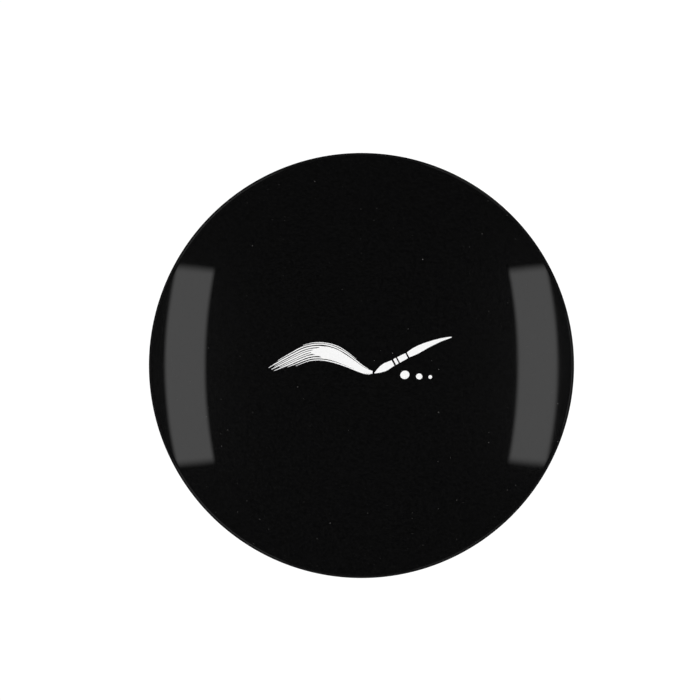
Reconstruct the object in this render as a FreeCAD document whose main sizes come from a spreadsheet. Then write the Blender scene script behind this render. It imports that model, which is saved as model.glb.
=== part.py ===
import FreeCAD, Part
import math
import os
import Sketcher

# Round wet palette: a hinged, domed case that holds a lift-out water tray with a
# sponge, a disc of palette paper and a twist-lock ring.  Millimetres, +Z up.
# Origin: centre of the plane the feet rest on.  The hinge is at +Y, the latch
# button at -Y, so front is -Y and left is -X.

doc = FreeCAD.newDocument("RoundWetPalette")
sheet = doc.addObject("Spreadsheet::Sheet", "Dims")

# Alias, value or formula of other aliases, and what the size is.  Latch sizes
# called front or back are distances from the axis towards -Y; hinge sizes are
# distances towards +Y.
DIMS = [
    # lid shell
    ("lid_radius", 60.0, "outer radius of the lid"),
    ("lid_apex", 32.2, "height of the top of the dome"),
    ("dome_radius", 140.0, "spherical radius of the dome"),
    ("dome_wall", 2.0, "wall of the dome"),
    ("lid_bottom", 16.3, "lower edge of the lid"),
    ("skirt_inside", 57.7, "inner radius of the lid's skirt"),
    ("lid_edge_fillet", 1.6, "rounding between dome and skirt"),
    ("lid_rim_fillet", 0.3, "rounding of the lid's lower outer edge"),
    ("bead_inside", 57.3, "inner radius of the snap bead"),
    ("bead_top", 16.48, "top of the snap bead"),
    ("bead_rise", 0.08, "rise of the bead's top towards the skirt"),
    ("liner_post_ring", 44.0, "radius of the circle of liner posts"),
    ("liner_post_radius", 2.5, "radius of a liner post"),
    ("liner_post_top", 24.0, "where a liner post ends in the dome"),
    # lid ring
    ("frame_inside", 46.6, "inner radius of the lid ring"),
    ("frame_outside", 57.5, "outer radius of the lid ring"),
    ("frame_bottom", 16.6, "underside of the lid ring"),
    ("frame_edge_top", 17.4, "top of the lid ring at its outer edge"),
    ("frame_shoulder", 52.0, "radius where the ring's slope ends"),
    ("frame_top", 19.3, "top of the lid ring"),
    ("rebate_radius", 48.4, "radius of the liner's rebate"),
    ("rebate_floor", 18.0, "floor of the liner's rebate"),
    ("groove_inside", 49.2, "inner radius of the gasket groove"),
    ("groove_outside", 51.2, "outer radius of the gasket groove"),
    ("groove_top", 17.8, "top of the gasket groove"),
    # latch hook
    ("hook_half", 5.0, "half width of the latch hook"),
    ("hook_front", 54.7, "front face of the hook, from the axis"),
    ("hook_back", 53.5, "back face of the hook"),
    ("barb_back", 52.7, "tip of the barb"),
    ("barb_top", 12.6, "top of the barb"),
    ("barb_nose", 11.9, "where the barb's lead-in starts"),
    ("barb_lead", 0.9, "depth of the barb's lead-in along Y"),
    ("hook_bottom", 11.0, "lower end of the hook"),
    # gasket
    ("gasket_gap", 0.05, "clearance of the gasket in its groove and on the flange"),
    ("gasket_side_rise", 0.1, "lower end of the gasket's sides above the lid ring's underside"),
    ("gasket_root_drop", 0.05, "root of the sealing lip below the lid ring's underside"),
    ("gasket_lip_half", 0.55, "half width of the sealing lip"),
    ("gasket_tip_half", "gasket_lip_half / 2", "half width of the lip's tip"),
    ("gasket_tip_height", 0.4, "height of the lip's tapered tip"),
    # liner
    ("liner_radius", "rebate_radius - 0.2", "radius of the liner"),
    ("liner_bottom", "rebate_floor + 0.05", "underside of the liner's edge"),
    ("liner_thick", 1.2, "thickness of the liner"),
    ("rib_root_inner", 2.4, "inner root of the liner's rib, inside the lid ring"),
    ("rib_tip_inner", 2.1, "inner edge of the rib's face, inside the lid ring"),
    ("rib_tip_outer", 1.3, "outer edge of the rib's face, inside the lid ring"),
    ("rib_root_outer", 1.0, "outer root of the rib, inside the lid ring"),
    ("rib_height", 0.45, "height of the rib below the liner"),
    # base shell
    ("base_radius", 59.4, "outer radius of the base"),
    ("base_wall", 2.0, "wall of the base"),
    ("base_top", 16.0, "rim of the base"),
    ("base_under", 1.0, "underside of the base"),
    ("curve_radius", 12.0, "radius of the rounded lower wall"),
    ("curve_height", 12.0, "height where the rounded lower wall starts"),
    ("base_edge_fillet", 1.5, "rounding of the lower edge"),
    ("base_rim_chamfer", 0.35, "chamfer of the rim"),
    ("trim_inset", 0.4, "start of the trim outside the flat underside"),
    ("trim_height", 2.0, "height where the trim meets the rounded wall"),
    ("trim_margin", 4.0, "reach of the trim outside the base"),
    # hinge
    ("hinge_back", 56.8, "hinge axis, distance from the centre"),
    ("hinge_height", 13.8, "hinge axis, height"),
    ("knuckle_radius", 2.2, "radius of the hinge knuckles"),
    ("hinge_arm_back", 0.1, "back face of the lid's hinge arm, behind the hinge axis"),
    ("knuckle_root_front", 0.4, "reach of a base knuckle into the notch's front wall"),
    ("knuckle_root_depth", 0.3, "reach of a base knuckle into the notch's floor"),
    ("pin_radius", 0.9, "radius of the hinge pin"),
    ("bore_radius", "pin_radius + 0.05", "radius of the pin bore"),
    ("pin_half", 9.9, "half length of the pin"),
    ("pin_end_gap", 0.05, "clearance at the pin's blind end"),
    ("pin_chamfer", 0.2, "chamfer of the pin's ends"),
    ("lid_knuckle_half", 5.8, "half width of the lid's knuckle"),
    ("base_knuckle_start", 6.1, "inner face of a base knuckle"),
    ("base_knuckle_end", 10.2, "outer face of a base knuckle"),
    ("notch_half", 13.8, "half width of the hinge notch"),
    ("notch_front", 54.2, "front wall of the hinge notch"),
    ("notch_floor", 11.2, "floor of the hinge notch"),
    ("sweep_radius", 5.2, "clearance for the lid's edge as it swings"),
    ("housing_half", 15.4, "half width of the hinge housing"),
    ("housing_front", 52.4, "front wall of the hinge housing"),
    ("housing_bottom", 7.2, "underside of the hinge housing"),
    ("merge_radius", 58.0, "radius inside the wall where blocks end"),
    # latch button
    ("button_half", 8.0, "half width of the button"),
    ("button_gap", 0.05, "how far the button sits inside the wall"),
    ("button_bottom", 9.0, "lower edge of the button"),
    ("button_top", 14.0, "upper edge of the button"),
    ("button_inside", 57.0, "inner radius of the button's face"),
    ("button_sweep", 20.0, "angle of the button's face before its sides are cut"),
    ("grip_groove_half", 0.35, "half width of a grip groove in the button"),
    ("grip_groove_pitch", 1.5, "spacing of the grip grooves"),
    ("grip_groove_margin", 1.0, "distance of a grip groove from the button's edges"),
    ("grip_groove_depth", 0.75, "floor of the grip grooves inside the base's radius"),
    ("arm_inside", 5.6, "inner face of an arm"),
    ("arm_outside", 7.4, "outer face of an arm"),
    ("arm_front", 57.2, "front end of an arm"),
    ("bar_front", 53.4, "front face of the slider bar"),
    ("bar_back", 51.6, "back face of the slider bar"),
    ("bar_bottom", 12.75, "underside of the slider bar"),
    ("bar_lead", 0.5, "lead-in chamfer of the slider bar"),
    ("wing_end", 10.7, "end of a wing"),
    ("wing_front", 55.3, "front face of a wing"),
    ("wing_back", 54.3, "back face of a wing"),
    ("wing_bottom", 10.0, "underside of a wing"),
    ("wing_top", 13.0, "top of a wing"),
    # latch opening and boss
    ("window_gap", 0.2, "clearance around the button in its window"),
    ("window_half", "button_half + window_gap", "half width of the button window"),
    ("window_bottom", "button_bottom - window_gap", "sill of the button window"),
    ("window_top", "button_top + window_gap", "top of the button window"),
    ("boss_half", 13.5, "half width of the latch boss"),
    ("boss_back", 55.4, "inner face of the latch boss"),
    ("boss_bottom", 7.4, "underside of the latch boss"),
    # springs
    ("spring_side", 9.1, "spring axis, distance from the middle"),
    ("spring_height", 11.5, "spring axis, height"),
    ("spring_mean", 1.1, "mean radius of a spring"),
    ("spring_wire", 0.2, "radius of the spring wire"),
    ("spring_front", 54.05, "front of a spring's wire centre"),
    ("spring_back", 49.85, "back of a spring's wire centre"),
    ("spring_turns", 5.0, "turns of a spring"),
    ("peg_radius", 0.7, "radius of a spring peg"),
    ("button_peg_end", 53.4, "end of the button's peg"),
    ("retainer_peg_end", 50.6, "end of the retainer's peg"),
    # retainer
    ("retainer_half", 13.4, "half width of the retainer"),
    ("retainer_front", 53.9, "front edge of the retainer's plate"),
    ("retainer_wall_front", 49.6, "front of the retainer's wall"),
    ("retainer_wall_back", 48.6, "back of the retainer's wall"),
    ("retainer_bottom", 7.5, "underside of the retainer's plate"),
    ("retainer_plate_top", 8.7, "top of the retainer's plate"),
    ("retainer_screw_side", 11.8, "retainer screw, distance from the middle"),
    ("retainer_screw_back", 52.0, "retainer screw, distance from the axis"),
    ("retainer_post_radius", 2.0, "radius of a retainer post"),
    ("retainer_hole_depth", 3.6, "depth of a retainer screw's pilot hole"),
    ("post_start", 2.5, "where the posts start in the floor"),
    # deck ring
    ("deck_outside", 57.2, "outer radius of the deck ring"),
    ("deck_inside", 48.3, "inner radius of the deck ring"),
    ("deck_bottom", 13.2, "underside of the deck ring"),
    ("deck_step", 14.4, "floor of the tray's rebate"),
    ("deck_top", 15.6, "top of the deck ring"),
    ("deck_rebate", 51.8, "radius of the tray's rebate"),
    ("deck_chamfer", 0.3, "chamfer around the tray's rebate"),
    ("deck_hinge_half", 15.7, "half width of the cut for the hinge housing"),
    ("deck_hinge_front", 51.0, "front of the cut for the hinge housing"),
    ("deck_latch_half", 14.2, "half width of the pocket over the latch"),
    ("slot_half", 5.4, "half width of the hook slot"),
    ("slot_front", 55.0, "front of the hook slot"),
    ("slot_back", 52.5, "back of the hook slot"),
    ("scoop_radius", 9.0, "radius of a finger scoop"),
    ("scoop_centre", 58.5, "centre of a finger scoop"),
    ("scoop_floor", 13.9, "floor of a finger scoop"),
    # screws
    ("deck_screw_ring", 54.5, "radius of the circle of deck screws"),
    ("deck_post_radius", 2.5, "radius of a deck screw post"),
    ("screw_shaft_radius", 0.85, "radius of a screw's shaft"),
    ("screw_tip_radius", "screw_shaft_radius * 0.3", "radius of a screw's end"),
    ("screw_tip_length", 1.0, "length of a screw's tapered tip"),
    ("screw_hole_radius", 0.9, "radius of a screw's pilot hole"),
    ("screw_pass_radius", 1.0, "radius of a screw's clearance hole"),
    ("screw_head_radius", 1.6, "radius of a screw's head"),
    ("screw_head_height", 1.0, "height of a screw's head"),
    ("screw_head_side", "screw_head_height * 0.45", "height of the head's upright side"),
    ("screw_crown_radius", "screw_head_radius * 0.72", "radius of the head's flat top"),
    ("deck_screw_length", 7.0, "length under the head of a deck screw"),
    ("retainer_screw_length", 4.2, "length under the head of a retainer screw"),
    ("deck_counterbore", 1.9, "radius of the deck's counterbore"),
    ("deck_counterbore_floor", 14.2, "floor of the deck's counterbore"),
    ("cross_width", 0.55, "width of the screw's cross slot"),
    ("cross_length", 1.9, "length of the screw's cross slot"),
    ("cross_depth", 0.55, "depth of the screw's cross slot"),
    # water tray
    ("tray_flange", 51.5, "outer radius of the tray's flange"),
    ("tray_outside", 48.0, "outer radius of the tray's wall"),
    ("tray_inside", 46.8, "inner radius of the tray's wall"),
    ("tray_outer_draft", 0.6, "inward lean of the tray's outer wall"),
    ("tray_inner_draft", 0.5, "inward lean of the tray's inner wall"),
    ("tray_bottom", 3.3, "underside of the tray"),
    ("tray_floor", 4.8, "floor of the tray"),
    ("tray_outer_fillet", 3.0, "outer rounding at the tray's bottom"),
    ("tray_inner_fillet", 1.2, "inner rounding at the tray's floor"),
    ("tray_flange_fillet", 0.5, "rounding of the flange's edge"),
    ("tab_inside", 45.9, "inner radius of a bayonet tab"),
    ("tab_bottom", 14.2, "underside of a bayonet tab"),
    ("tab_top", 15.2, "top of a bayonet tab"),
    ("tab_half_angle", 5.0, "half angle of a bayonet tab"),
    ("stop_bottom", 12.9, "underside of a bayonet stop"),
    ("stop_first_start", -6.6, "locked stop, first angle"),
    ("stop_first_end", -4.8, "locked stop, second angle"),
    ("stop_last_start", 26.8, "open stop, first angle"),
    ("stop_last_end", 28.6, "open stop, second angle"),
    # sponge and paper
    ("sponge_radius", 45.5, "radius of the sponge"),
    ("sponge_bottom", "tray_floor + 0.1", "underside of the sponge"),
    ("sponge_top", 12.4, "top of the sponge"),
    ("sponge_fillet", 0.8, "rounding of the sponge's edges"),
    ("paper_radius", 45.0, "radius of the paper"),
    ("paper_bottom", "sponge_top + 0.05", "underside of the paper"),
    ("paper_top", "paper_bottom + 0.2", "top of the paper"),
    # paper ring
    ("hold_outside", 45.7, "outer radius of the paper ring"),
    ("hold_inside", 41.5, "inner radius of the paper ring"),
    ("hold_bottom", "paper_top + 0.05", "underside of the paper ring"),
    ("hold_top", 15.2, "top of the paper ring"),
    ("hold_inner_edge", 13.5, "height of the ring's inner edge"),
    ("hold_slope", 43.2, "radius where the ring's inner slope ends"),
    ("hold_fillet", 0.4, "rounding at the top of the ring's inner slope"),
    ("lug_outside", 46.6, "outer radius of a lug"),
    ("lug_bottom", 13.0, "underside of a lug"),
    ("lug_top", 14.1, "top of a lug"),
    ("lug_half_angle", 4.5, "half angle of a lug"),
    ("grip_inside", 43.6, "inner radius of a finger grip"),
    ("grip_outside", 45.2, "outer radius of a finger grip"),
    ("grip_top", 16.5, "top of a finger grip"),
    ("grip_half_angle", 7.0, "half angle of a finger grip"),
    # feet
    ("foot_radius", 5.0, "radius of a foot"),
    ("foot_height", 2.15, "height of a foot"),
    ("foot_edge", 0.6, "rounding of a foot's edge"),
    ("foot_place", 26.87, "foot centre, along X and along Y"),
    ("foot_recess_radius", "foot_radius + 0.2", "radius of a foot's recess"),
    ("foot_recess_top", "foot_height + 0.05", "top of a foot's recess"),
]

OVERCUT = 1.0  # how far a cut starts outside the material
OVERLAP = 0.2  # how far a latch or hinge block reaches into its parent
RING_OVERLAP = 0.3  # how far a block reaches into a tray or ring it grows from
DIAGONAL = math.cos(math.radians(45))  # X and Y share of a place on a diagonal
CORNERS = ((1, 1), (-1, 1), (-1, -1), (1, -1))  # signs of X and Y

for row, (alias, value, words) in enumerate(DIMS, start=1):
    sheet.set("A%d" % row, words)
    sheet.set("B%d" % row, "=" + value if isinstance(value, str) else repr(value))
    sheet.setAlias("B%d" % row, alias)
doc.recompute()
VALUE = {alias: float(sheet.get(alias)) for alias, value, words in DIMS}


# ------------------------------------------------------- sizes and expressions
class Dim:
    """A size that knows both its value and the sheet expression it comes from."""

    def __init__(self, value, text):
        self.value = float(value)
        self.text = text

    def __add__(self, other):
        other = dim(other)
        return Dim(self.value + other.value, "(%s + %s)" % (self.text, other.text))

    def __sub__(self, other):
        other = dim(other)
        return Dim(self.value - other.value, "(%s - %s)" % (self.text, other.text))

    def __mul__(self, other):
        other = dim(other)
        return Dim(self.value * other.value, "(%s * %s)" % (self.text, other.text))

    def __radd__(self, other):
        return dim(other) + self

    def __rsub__(self, other):
        return dim(other) - self

    def __neg__(self):
        return Dim(-self.value, "(-1 * %s)" % self.text)


def dim(item):
    """A Dim from a sheet alias, a number or another Dim."""
    if isinstance(item, Dim):
        return item
    if isinstance(item, str):
        return Dim(VALUE[item], "Dims." + item)
    return Dim(item, "%.6f" % item)


def root(item):
    return Dim(math.sqrt(item.value), "sqrt(%s)" % item.text)


def cosd(item):
    return Dim(math.cos(math.radians(item.value)), "cos(%s)" % item.text)


def sind(item):
    return Dim(math.sin(math.radians(item.value)), "sin(%s)" % item.text)


def leg(long_side, short_side):
    """The other short side of a right triangle."""
    long_side, short_side = dim(long_side), dim(short_side)
    return root(long_side * long_side - short_side * short_side)


# -------------------------------------------------------------------- sketches
def new_body(label):
    body = doc.addObject("PartDesign::Body", label)
    body.Label = label
    return body


def origin_feature(body, role):
    return [item for item in body.Origin.OriginFeatures if item.Role == role][0]


def arc_centre(start, end, radius, ccw, large):
    chord = FreeCAD.Vector(end[0] - start[0], end[1] - start[1], 0)
    middle = FreeCAD.Vector((start[0] + end[0]) / 2, (start[1] + end[1]) / 2, 0)
    rise = math.sqrt(max(radius * radius - chord.Length * chord.Length / 4, 0))
    left = FreeCAD.Vector(-chord.y, chord.x, 0).normalize()
    side = 1 if ccw != large else -1
    return middle + left * (rise * side)


def line_geometry(start, end):
    return Part.LineSegment(
        FreeCAD.Vector(start[0], start[1], 0), FreeCAD.Vector(end[0], end[1], 0)
    )


def arc_geometry(start, end, radius, ccw, large):
    centre = arc_centre(start, end, radius, ccw, large)
    first = math.atan2(start[1] - centre.y, start[0] - centre.x)
    last = math.atan2(end[1] - centre.y, end[0] - centre.x)
    if not ccw:
        first, last = last, first
    if last <= first:
        last += 2 * math.pi
    circle = Part.Circle(centre, FreeCAD.Vector(0, 0, 1), radius)
    return Part.ArcOfCircle(circle, first, last)


def new_sketch(body, name, role, loops, offset=None):
    """Each loop is ("circle", x, y, r) or a list of (x, y) corners, where a third
    item (radius, ccw, large) makes the edge that leaves the corner an arc."""
    sketch = body.newObject("Sketcher::SketchObject", name)
    sketch.AttachmentSupport = [(origin_feature(body, role), "")]
    sketch.MapMode = "FlatFace"
    if offset is not None:
        offset = dim(offset)
        sketch.AttachmentOffset = FreeCAD.Placement(
            FreeCAD.Vector(0, 0, offset.value), FreeCAD.Rotation()
        )
        sketch.setExpression("AttachmentOffset.Base.z", offset.text)
    bound = []

    def fix_radius(geo, radius):
        number = sketch.addConstraint(Sketcher.Constraint("Radius", geo, radius.value))
        bound.append((number, radius.text))

    def fix_coordinate(kind, geo, point, place):
        if abs(place.value) < 1e-9:
            axis = -2 if kind == "DistanceX" else -1
            sketch.addConstraint(Sketcher.Constraint("PointOnObject", geo, point, axis))
        elif place.value > 0:
            number = sketch.addConstraint(
                Sketcher.Constraint(kind, -1, 1, geo, point, place.value)
            )
            bound.append((number, place.text))
        else:
            # distances stay positive, so the two points change places
            number = sketch.addConstraint(
                Sketcher.Constraint(kind, geo, point, -1, 1, -place.value)
            )
            bound.append((number, "-1 * %s" % place.text))

    def add_circle(x, y, radius):
        centre = FreeCAD.Vector(x.value, y.value, 0)
        circle = Part.Circle(centre, FreeCAD.Vector(0, 0, 1), radius.value)
        geo = sketch.addGeometry(circle, False)
        fix_radius(geo, radius)
        fix_coordinate("DistanceX", geo, 3, x)
        fix_coordinate("DistanceY", geo, 3, y)

    def add_outline(loop):
        corners = [(dim(corner[0]), dim(corner[1])) for corner in loop]
        points = [(x.value, y.value) for x, y in corners]
        ends = []  # geometry number, its first point, its last point
        for index, corner in enumerate(loop):
            start = points[index]
            end = points[(index + 1) % len(loop)]
            if len(corner) == 3:
                radius, ccw, large = corner[2]
                radius = dim(radius)
                arc = arc_geometry(start, end, radius.value, ccw, large)
                geo = sketch.addGeometry(arc, False)
                ends.append((geo, 1, 2) if ccw else (geo, 2, 1))
                fix_radius(geo, radius)
            else:
                geo = sketch.addGeometry(line_geometry(start, end), False)
                ends.append((geo, 1, 2))
        for index, (geo, first, last) in enumerate(ends):
            after = ends[(index + 1) % len(ends)]
            sketch.addConstraint(
                Sketcher.Constraint("Coincident", geo, last, after[0], after[1])
            )
            fix_coordinate("DistanceX", geo, first, corners[index][0])
            fix_coordinate("DistanceY", geo, first, corners[index][1])

    for loop in loops:
        if loop[0] == "circle":
            add_circle(dim(loop[1]), dim(loop[2]), dim(loop[3]))
        else:
            add_outline(loop)
    for number, text in bound:
        sketch.setExpression("Constraints[%d]" % number, text)
    doc.recompute()
    if "Invalid" in sketch.State or sketch.Shape.isNull():
        raise RuntimeError("sketch %s failed" % name)
    return sketch


def box_loop(x0, x1, y0, y1):
    return [(x0, y0), (x1, y0), (x1, y1), (x0, y1)]


def centred_box(half, y0, y1):
    return box_loop(-dim(half), half, y0, y1)


def box_pair(x0, x1, y0, y1):
    """A box at +X and its mirror image at -X."""
    return [box_loop(x0, x1, y0, y1), box_loop(-dim(x1), -dim(x0), y0, y1)]


def circle_pair(x, y, radius):
    """A circle at +X and its mirror image at -X."""
    return [("circle", x, y, radius), ("circle", -dim(x), y, radius)]


def corner_circles(place, radius):
    """Four circles whose centres are at plus and minus place along X and Y."""
    return [("circle", place * sx, place * sy, radius) for sx, sy in CORNERS]


def ring_sector(inner, outer, first, last):
    """Corners of a sector of a ring between two angles, in degrees."""
    inner, outer, first, last = dim(inner), dim(outer), dim(first), dim(last)
    return [
        (inner * cosd(first), inner * sind(first)),
        (outer * cosd(first), outer * sind(first), (outer, True, False)),
        (outer * cosd(last), outer * sind(last)),
        (inner * cosd(last), inner * sind(last), (inner, False, False)),
    ]


# -------------------------------------------------------------------- features
last_volume = {}  # volume of each body after its newest feature


def settle(body, feature, kind):
    """Recompute and make sure the feature did what it is for."""
    doc.recompute()
    where = "%s in %s" % (feature.Name, body.Label)
    if "Invalid" in feature.State or "Error" in feature.State:
        raise RuntimeError("%s failed: %s" % (where, feature.State))
    volume = feature.Shape.Volume
    change = volume - last_volume.get(body.Label, 0.0)
    if kind == "add" and not change > 1e-4:
        raise RuntimeError("%s added nothing" % where)
    if kind == "cut" and not change < -1e-4:
        raise RuntimeError("%s cut nothing" % where)
    if abs(change) < 1e-6:
        raise RuntimeError("%s changed nothing" % where)
    last_volume[body.Label] = volume
    return feature


def pad(body, name, sketch, length, both=False, back=False, cut=False):
    """Pad along the sketch's normal; a cut goes against it, and back turns either."""
    feature = body.newObject("PartDesign::Pocket" if cut else "PartDesign::Pad", name)
    feature.Profile = sketch
    length = dim(length)
    feature.Length = length.value
    feature.setExpression("Length", length.text)
    if both:
        feature.SideType = "Symmetric"
    feature.Reversed = back
    return settle(body, feature, "cut" if cut else "add")


def pocket(body, name, sketch, length, both=False, back=False):
    return pad(body, name, sketch, length, both, back, cut=True)


def revolve(body, name, sketch, angle=360.0, both=False, cut=False):
    """Turn a sketch about its vertical axis."""
    kind = "PartDesign::Groove" if cut else "PartDesign::Revolution"
    feature = body.newObject(kind, name)
    feature.Profile = sketch
    feature.ReferenceAxis = (sketch, ["V_Axis"])
    feature.Angle = angle
    if both:
        feature.Midplane = True
    return settle(body, feature, "cut" if cut else "add")


def polar(body, name, features, count):
    """Repeat features around Z."""
    feature = body.newObject("PartDesign::PolarPattern", name)
    feature.Originals = features
    feature.Axis = (origin_feature(body, "Z_Axis"), [""])
    feature.Angle = 360.0
    feature.Occurrences = count
    body.Tip = feature
    return settle(body, feature, "add")


def mirror(body, name, features):
    """Repeat features on the other side of the YZ plane."""
    feature = body.newObject("PartDesign::Mirrored", name)
    feature.Originals = features
    feature.MirrorPlane = (origin_feature(body, "YZ_Plane"), [""])
    body.Tip = feature
    return settle(body, feature, "add")


def round_edges(body, name, base, radius, test, chamfer=False):
    """Fillet or chamfer the edges of the base feature that pass the test."""
    names = [
        "Edge%d" % number
        for number, edge in enumerate(base.Shape.Edges, start=1)
        if test(edge)
    ]
    if not names:
        raise RuntimeError("no edge to round for %s" % name)
    feature = body.newObject(
        "PartDesign::Chamfer" if chamfer else "PartDesign::Fillet", name
    )
    feature.Base = (base, names)
    radius = dim(radius)
    size_property = "Size" if chamfer else "Radius"
    setattr(feature, size_property, radius.value)
    feature.setExpression(size_property, radius.text)
    return settle(body, feature, "any")


def circle_at(radius, height, slack=0.02):
    """A test for the circular edge around Z of this radius at this height."""
    radius, height = dim(radius).value, dim(height).value

    def test(edge):
        box = edge.BoundBox
        if box.ZMax - box.ZMin > slack or abs(box.ZMax - height) > slack:
            return False
        halfway = (edge.FirstParameter + edge.LastParameter) / 2
        points = [edge.valueAt(edge.FirstParameter), edge.valueAt(halfway)]
        return all(abs(math.hypot(point.x, point.y) - radius) < slack for point in points)

    return test


# ------------------------------------------------------------------------- lid
def build_lid_shell():
    """Domed lid with a skirt, a snap bead and four posts above the liner."""
    body = new_body("lid_shell")
    dome_centre = dim("lid_apex") - "dome_radius"
    dome_inner = dim("dome_radius") - "dome_wall"
    dome_edge = dome_centre + leg("dome_radius", "lid_radius")
    ceiling_edge = dome_centre + leg(dome_inner, "skirt_inside")
    outline = [
        (0, "lid_apex", ("dome_radius", False, False)),
        ("lid_radius", dome_edge),
        ("lid_radius", "lid_bottom"),
        ("bead_inside", "lid_bottom"),
        ("bead_inside", "bead_top"),
        ("skirt_inside", dim("bead_top") + "bead_rise"),
        ("skirt_inside", ceiling_edge, (dome_inner, True, False)),
        (0, dim("lid_apex") - "dome_wall"),
    ]
    sketch = new_sketch(body, "lid_shell_profile", "XZ_Plane", [outline])
    turned = revolve(body, "lid_shell_turn", sketch)
    rounded = round_edges(
        body, "lid_shell_edge", turned, "lid_edge_fillet",
        circle_at("lid_radius", dome_edge),
    )
    round_edges(
        body, "lid_shell_rim", rounded, "lid_rim_fillet",
        circle_at("lid_radius", "lid_bottom"),
    )
    place = dim("liner_post_ring") * DIAGONAL
    sketch = new_sketch(
        body, "liner_post_sketch", "XY_Plane",
        [("circle", place, place, "liner_post_radius")],
        offset="frame_top",
    )
    post = pad(body, "liner_post", sketch, dim("liner_post_top") - "frame_top")
    polar(body, "liner_posts", [post], 4)
    return body


def build_lid_ring():
    """Ring inside the lid with the gasket groove, latch hook and hinge knuckle."""
    body = new_body("lid_ring")
    outline = [
        ("frame_inside", "frame_bottom"),
        ("groove_inside", "frame_bottom"),
        ("groove_inside", "groove_top"),
        ("groove_outside", "groove_top"),
        ("groove_outside", "frame_bottom"),
        ("frame_outside", "frame_bottom"),
        ("frame_outside", "frame_edge_top"),
        ("frame_shoulder", "frame_top"),
        ("rebate_radius", "frame_top"),
        ("rebate_radius", "rebate_floor"),
        ("frame_inside", "rebate_floor"),
    ]
    sketch = new_sketch(body, "lid_ring_profile", "XZ_Plane", [outline])
    revolve(body, "lid_ring_turn", sketch)

    hook = [
        (-dim("hook_front"), "frame_edge_top"),
        (-dim("hook_front"), "hook_bottom"),
        (-(dim("barb_back") + "barb_lead"), "hook_bottom"),
        (-dim("barb_back"), "barb_nose"),
        (-dim("barb_back"), "barb_top"),
        (-dim("hook_back"), "barb_top"),
        (-dim("hook_back"), "frame_edge_top"),
    ]
    sketch = new_sketch(body, "hook_sketch", "YZ_Plane", [hook])
    pad(body, "latch_hook", sketch, dim("hook_half") * 2, both=True)

    arm_top = dim("frame_edge_top") - OVERLAP
    arm_front = dim("hinge_back") - "knuckle_radius"
    arm_back = dim("hinge_back") + "hinge_arm_back"
    arm_rise = leg("knuckle_radius", "hinge_arm_back")
    arm = [
        (arm_front, arm_top),
        (arm_front, "hinge_height", ("knuckle_radius", True, True)),
        (arm_back, dim("hinge_height") + arm_rise),
        (arm_back, arm_top),
    ]
    sketch = new_sketch(body, "hinge_arm_sketch", "YZ_Plane", [arm])
    width = dim("lid_knuckle_half") * 2
    pad(body, "hinge_arm", sketch, width, both=True)
    sketch = new_sketch(
        body, "lid_bore_sketch", "YZ_Plane",
        [("circle", "hinge_back", "hinge_height", "bore_radius")],
    )
    pocket(body, "lid_bore", sketch, width + OVERCUT, both=True)
    return body


def build_lid_gasket():
    """Gasket in the ring's groove, with a lip that hangs down to the deck."""
    body = new_body("lid_gasket")
    inner = dim("groove_inside") + "gasket_gap"
    outer = dim("groove_outside") - "gasket_gap"
    top = dim("groove_top") - "gasket_gap"
    side_end = dim("frame_bottom") + "gasket_side_rise"
    lip_root = dim("frame_bottom") - "gasket_root_drop"
    lip_end = dim("deck_top") + "gasket_gap"
    taper = lip_end + "gasket_tip_height"
    middle = (dim("groove_inside") + "groove_outside") * 0.5
    outline = [
        (inner, side_end),
        (middle - "gasket_lip_half", lip_root),
        (middle - "gasket_lip_half", taper),
        (middle - "gasket_tip_half", lip_end),
        (middle + "gasket_tip_half", lip_end),
        (middle + "gasket_lip_half", taper),
        (middle + "gasket_lip_half", lip_root),
        (outer, side_end),
        (outer, top),
        (inner, top),
    ]
    sketch = new_sketch(body, "lid_gasket_profile", "XZ_Plane", [outline])
    revolve(body, "lid_gasket_turn", sketch)
    return body


def build_lid_liner():
    """Flat disc in the lid ring's rebate, with a low rib round its underside."""
    body = new_body("lid_liner")
    rib_bottom = dim("liner_bottom") - "rib_height"
    top = dim("liner_bottom") + "liner_thick"
    outline = [
        (0, "liner_bottom"),
        (dim("frame_inside") - "rib_root_inner", "liner_bottom"),
        (dim("frame_inside") - "rib_tip_inner", rib_bottom),
        (dim("frame_inside") - "rib_tip_outer", rib_bottom),
        (dim("frame_inside") - "rib_root_outer", "liner_bottom"),
        ("liner_radius", "liner_bottom"),
        ("liner_radius", top),
        (0, top),
    ]
    sketch = new_sketch(body, "lid_liner_profile", "XZ_Plane", [outline])
    revolve(body, "lid_liner_turn", sketch)
    return body


# ------------------------------------------------------------------ base shell
def curve_reach(radius, height):
    """Distance from Z of the rounded lower wall, for an arc radius and a height."""
    centre = dim("base_radius") - "curve_radius"
    return centre + leg(radius, dim("curve_height") - height)


def deck_screw_place():
    """X and Y of a deck screw."""
    return dim("deck_screw_ring") * DIAGONAL


def retainer_screw_circles(radius):
    return circle_pair("retainer_screw_side", -dim("retainer_screw_back"), radius)


def wall_block(body, name, half, straight, side, bottom, top):
    """A block between a straight inner face and the inside of the wall, at the
    back (side 1) or at the front (side -1)."""
    half, straight = dim(half) * side, dim(straight) * side
    reach = leg("merge_radius", half) * side
    outline = [
        (-half, straight),
        (half, straight),
        (half, reach, ("merge_radius", True, False)),
        (-half, reach),
    ]
    sketch = new_sketch(body, name + "_sketch", "XY_Plane", [outline], offset=bottom)
    pad(body, name, sketch, dim(top) - bottom)


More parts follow.
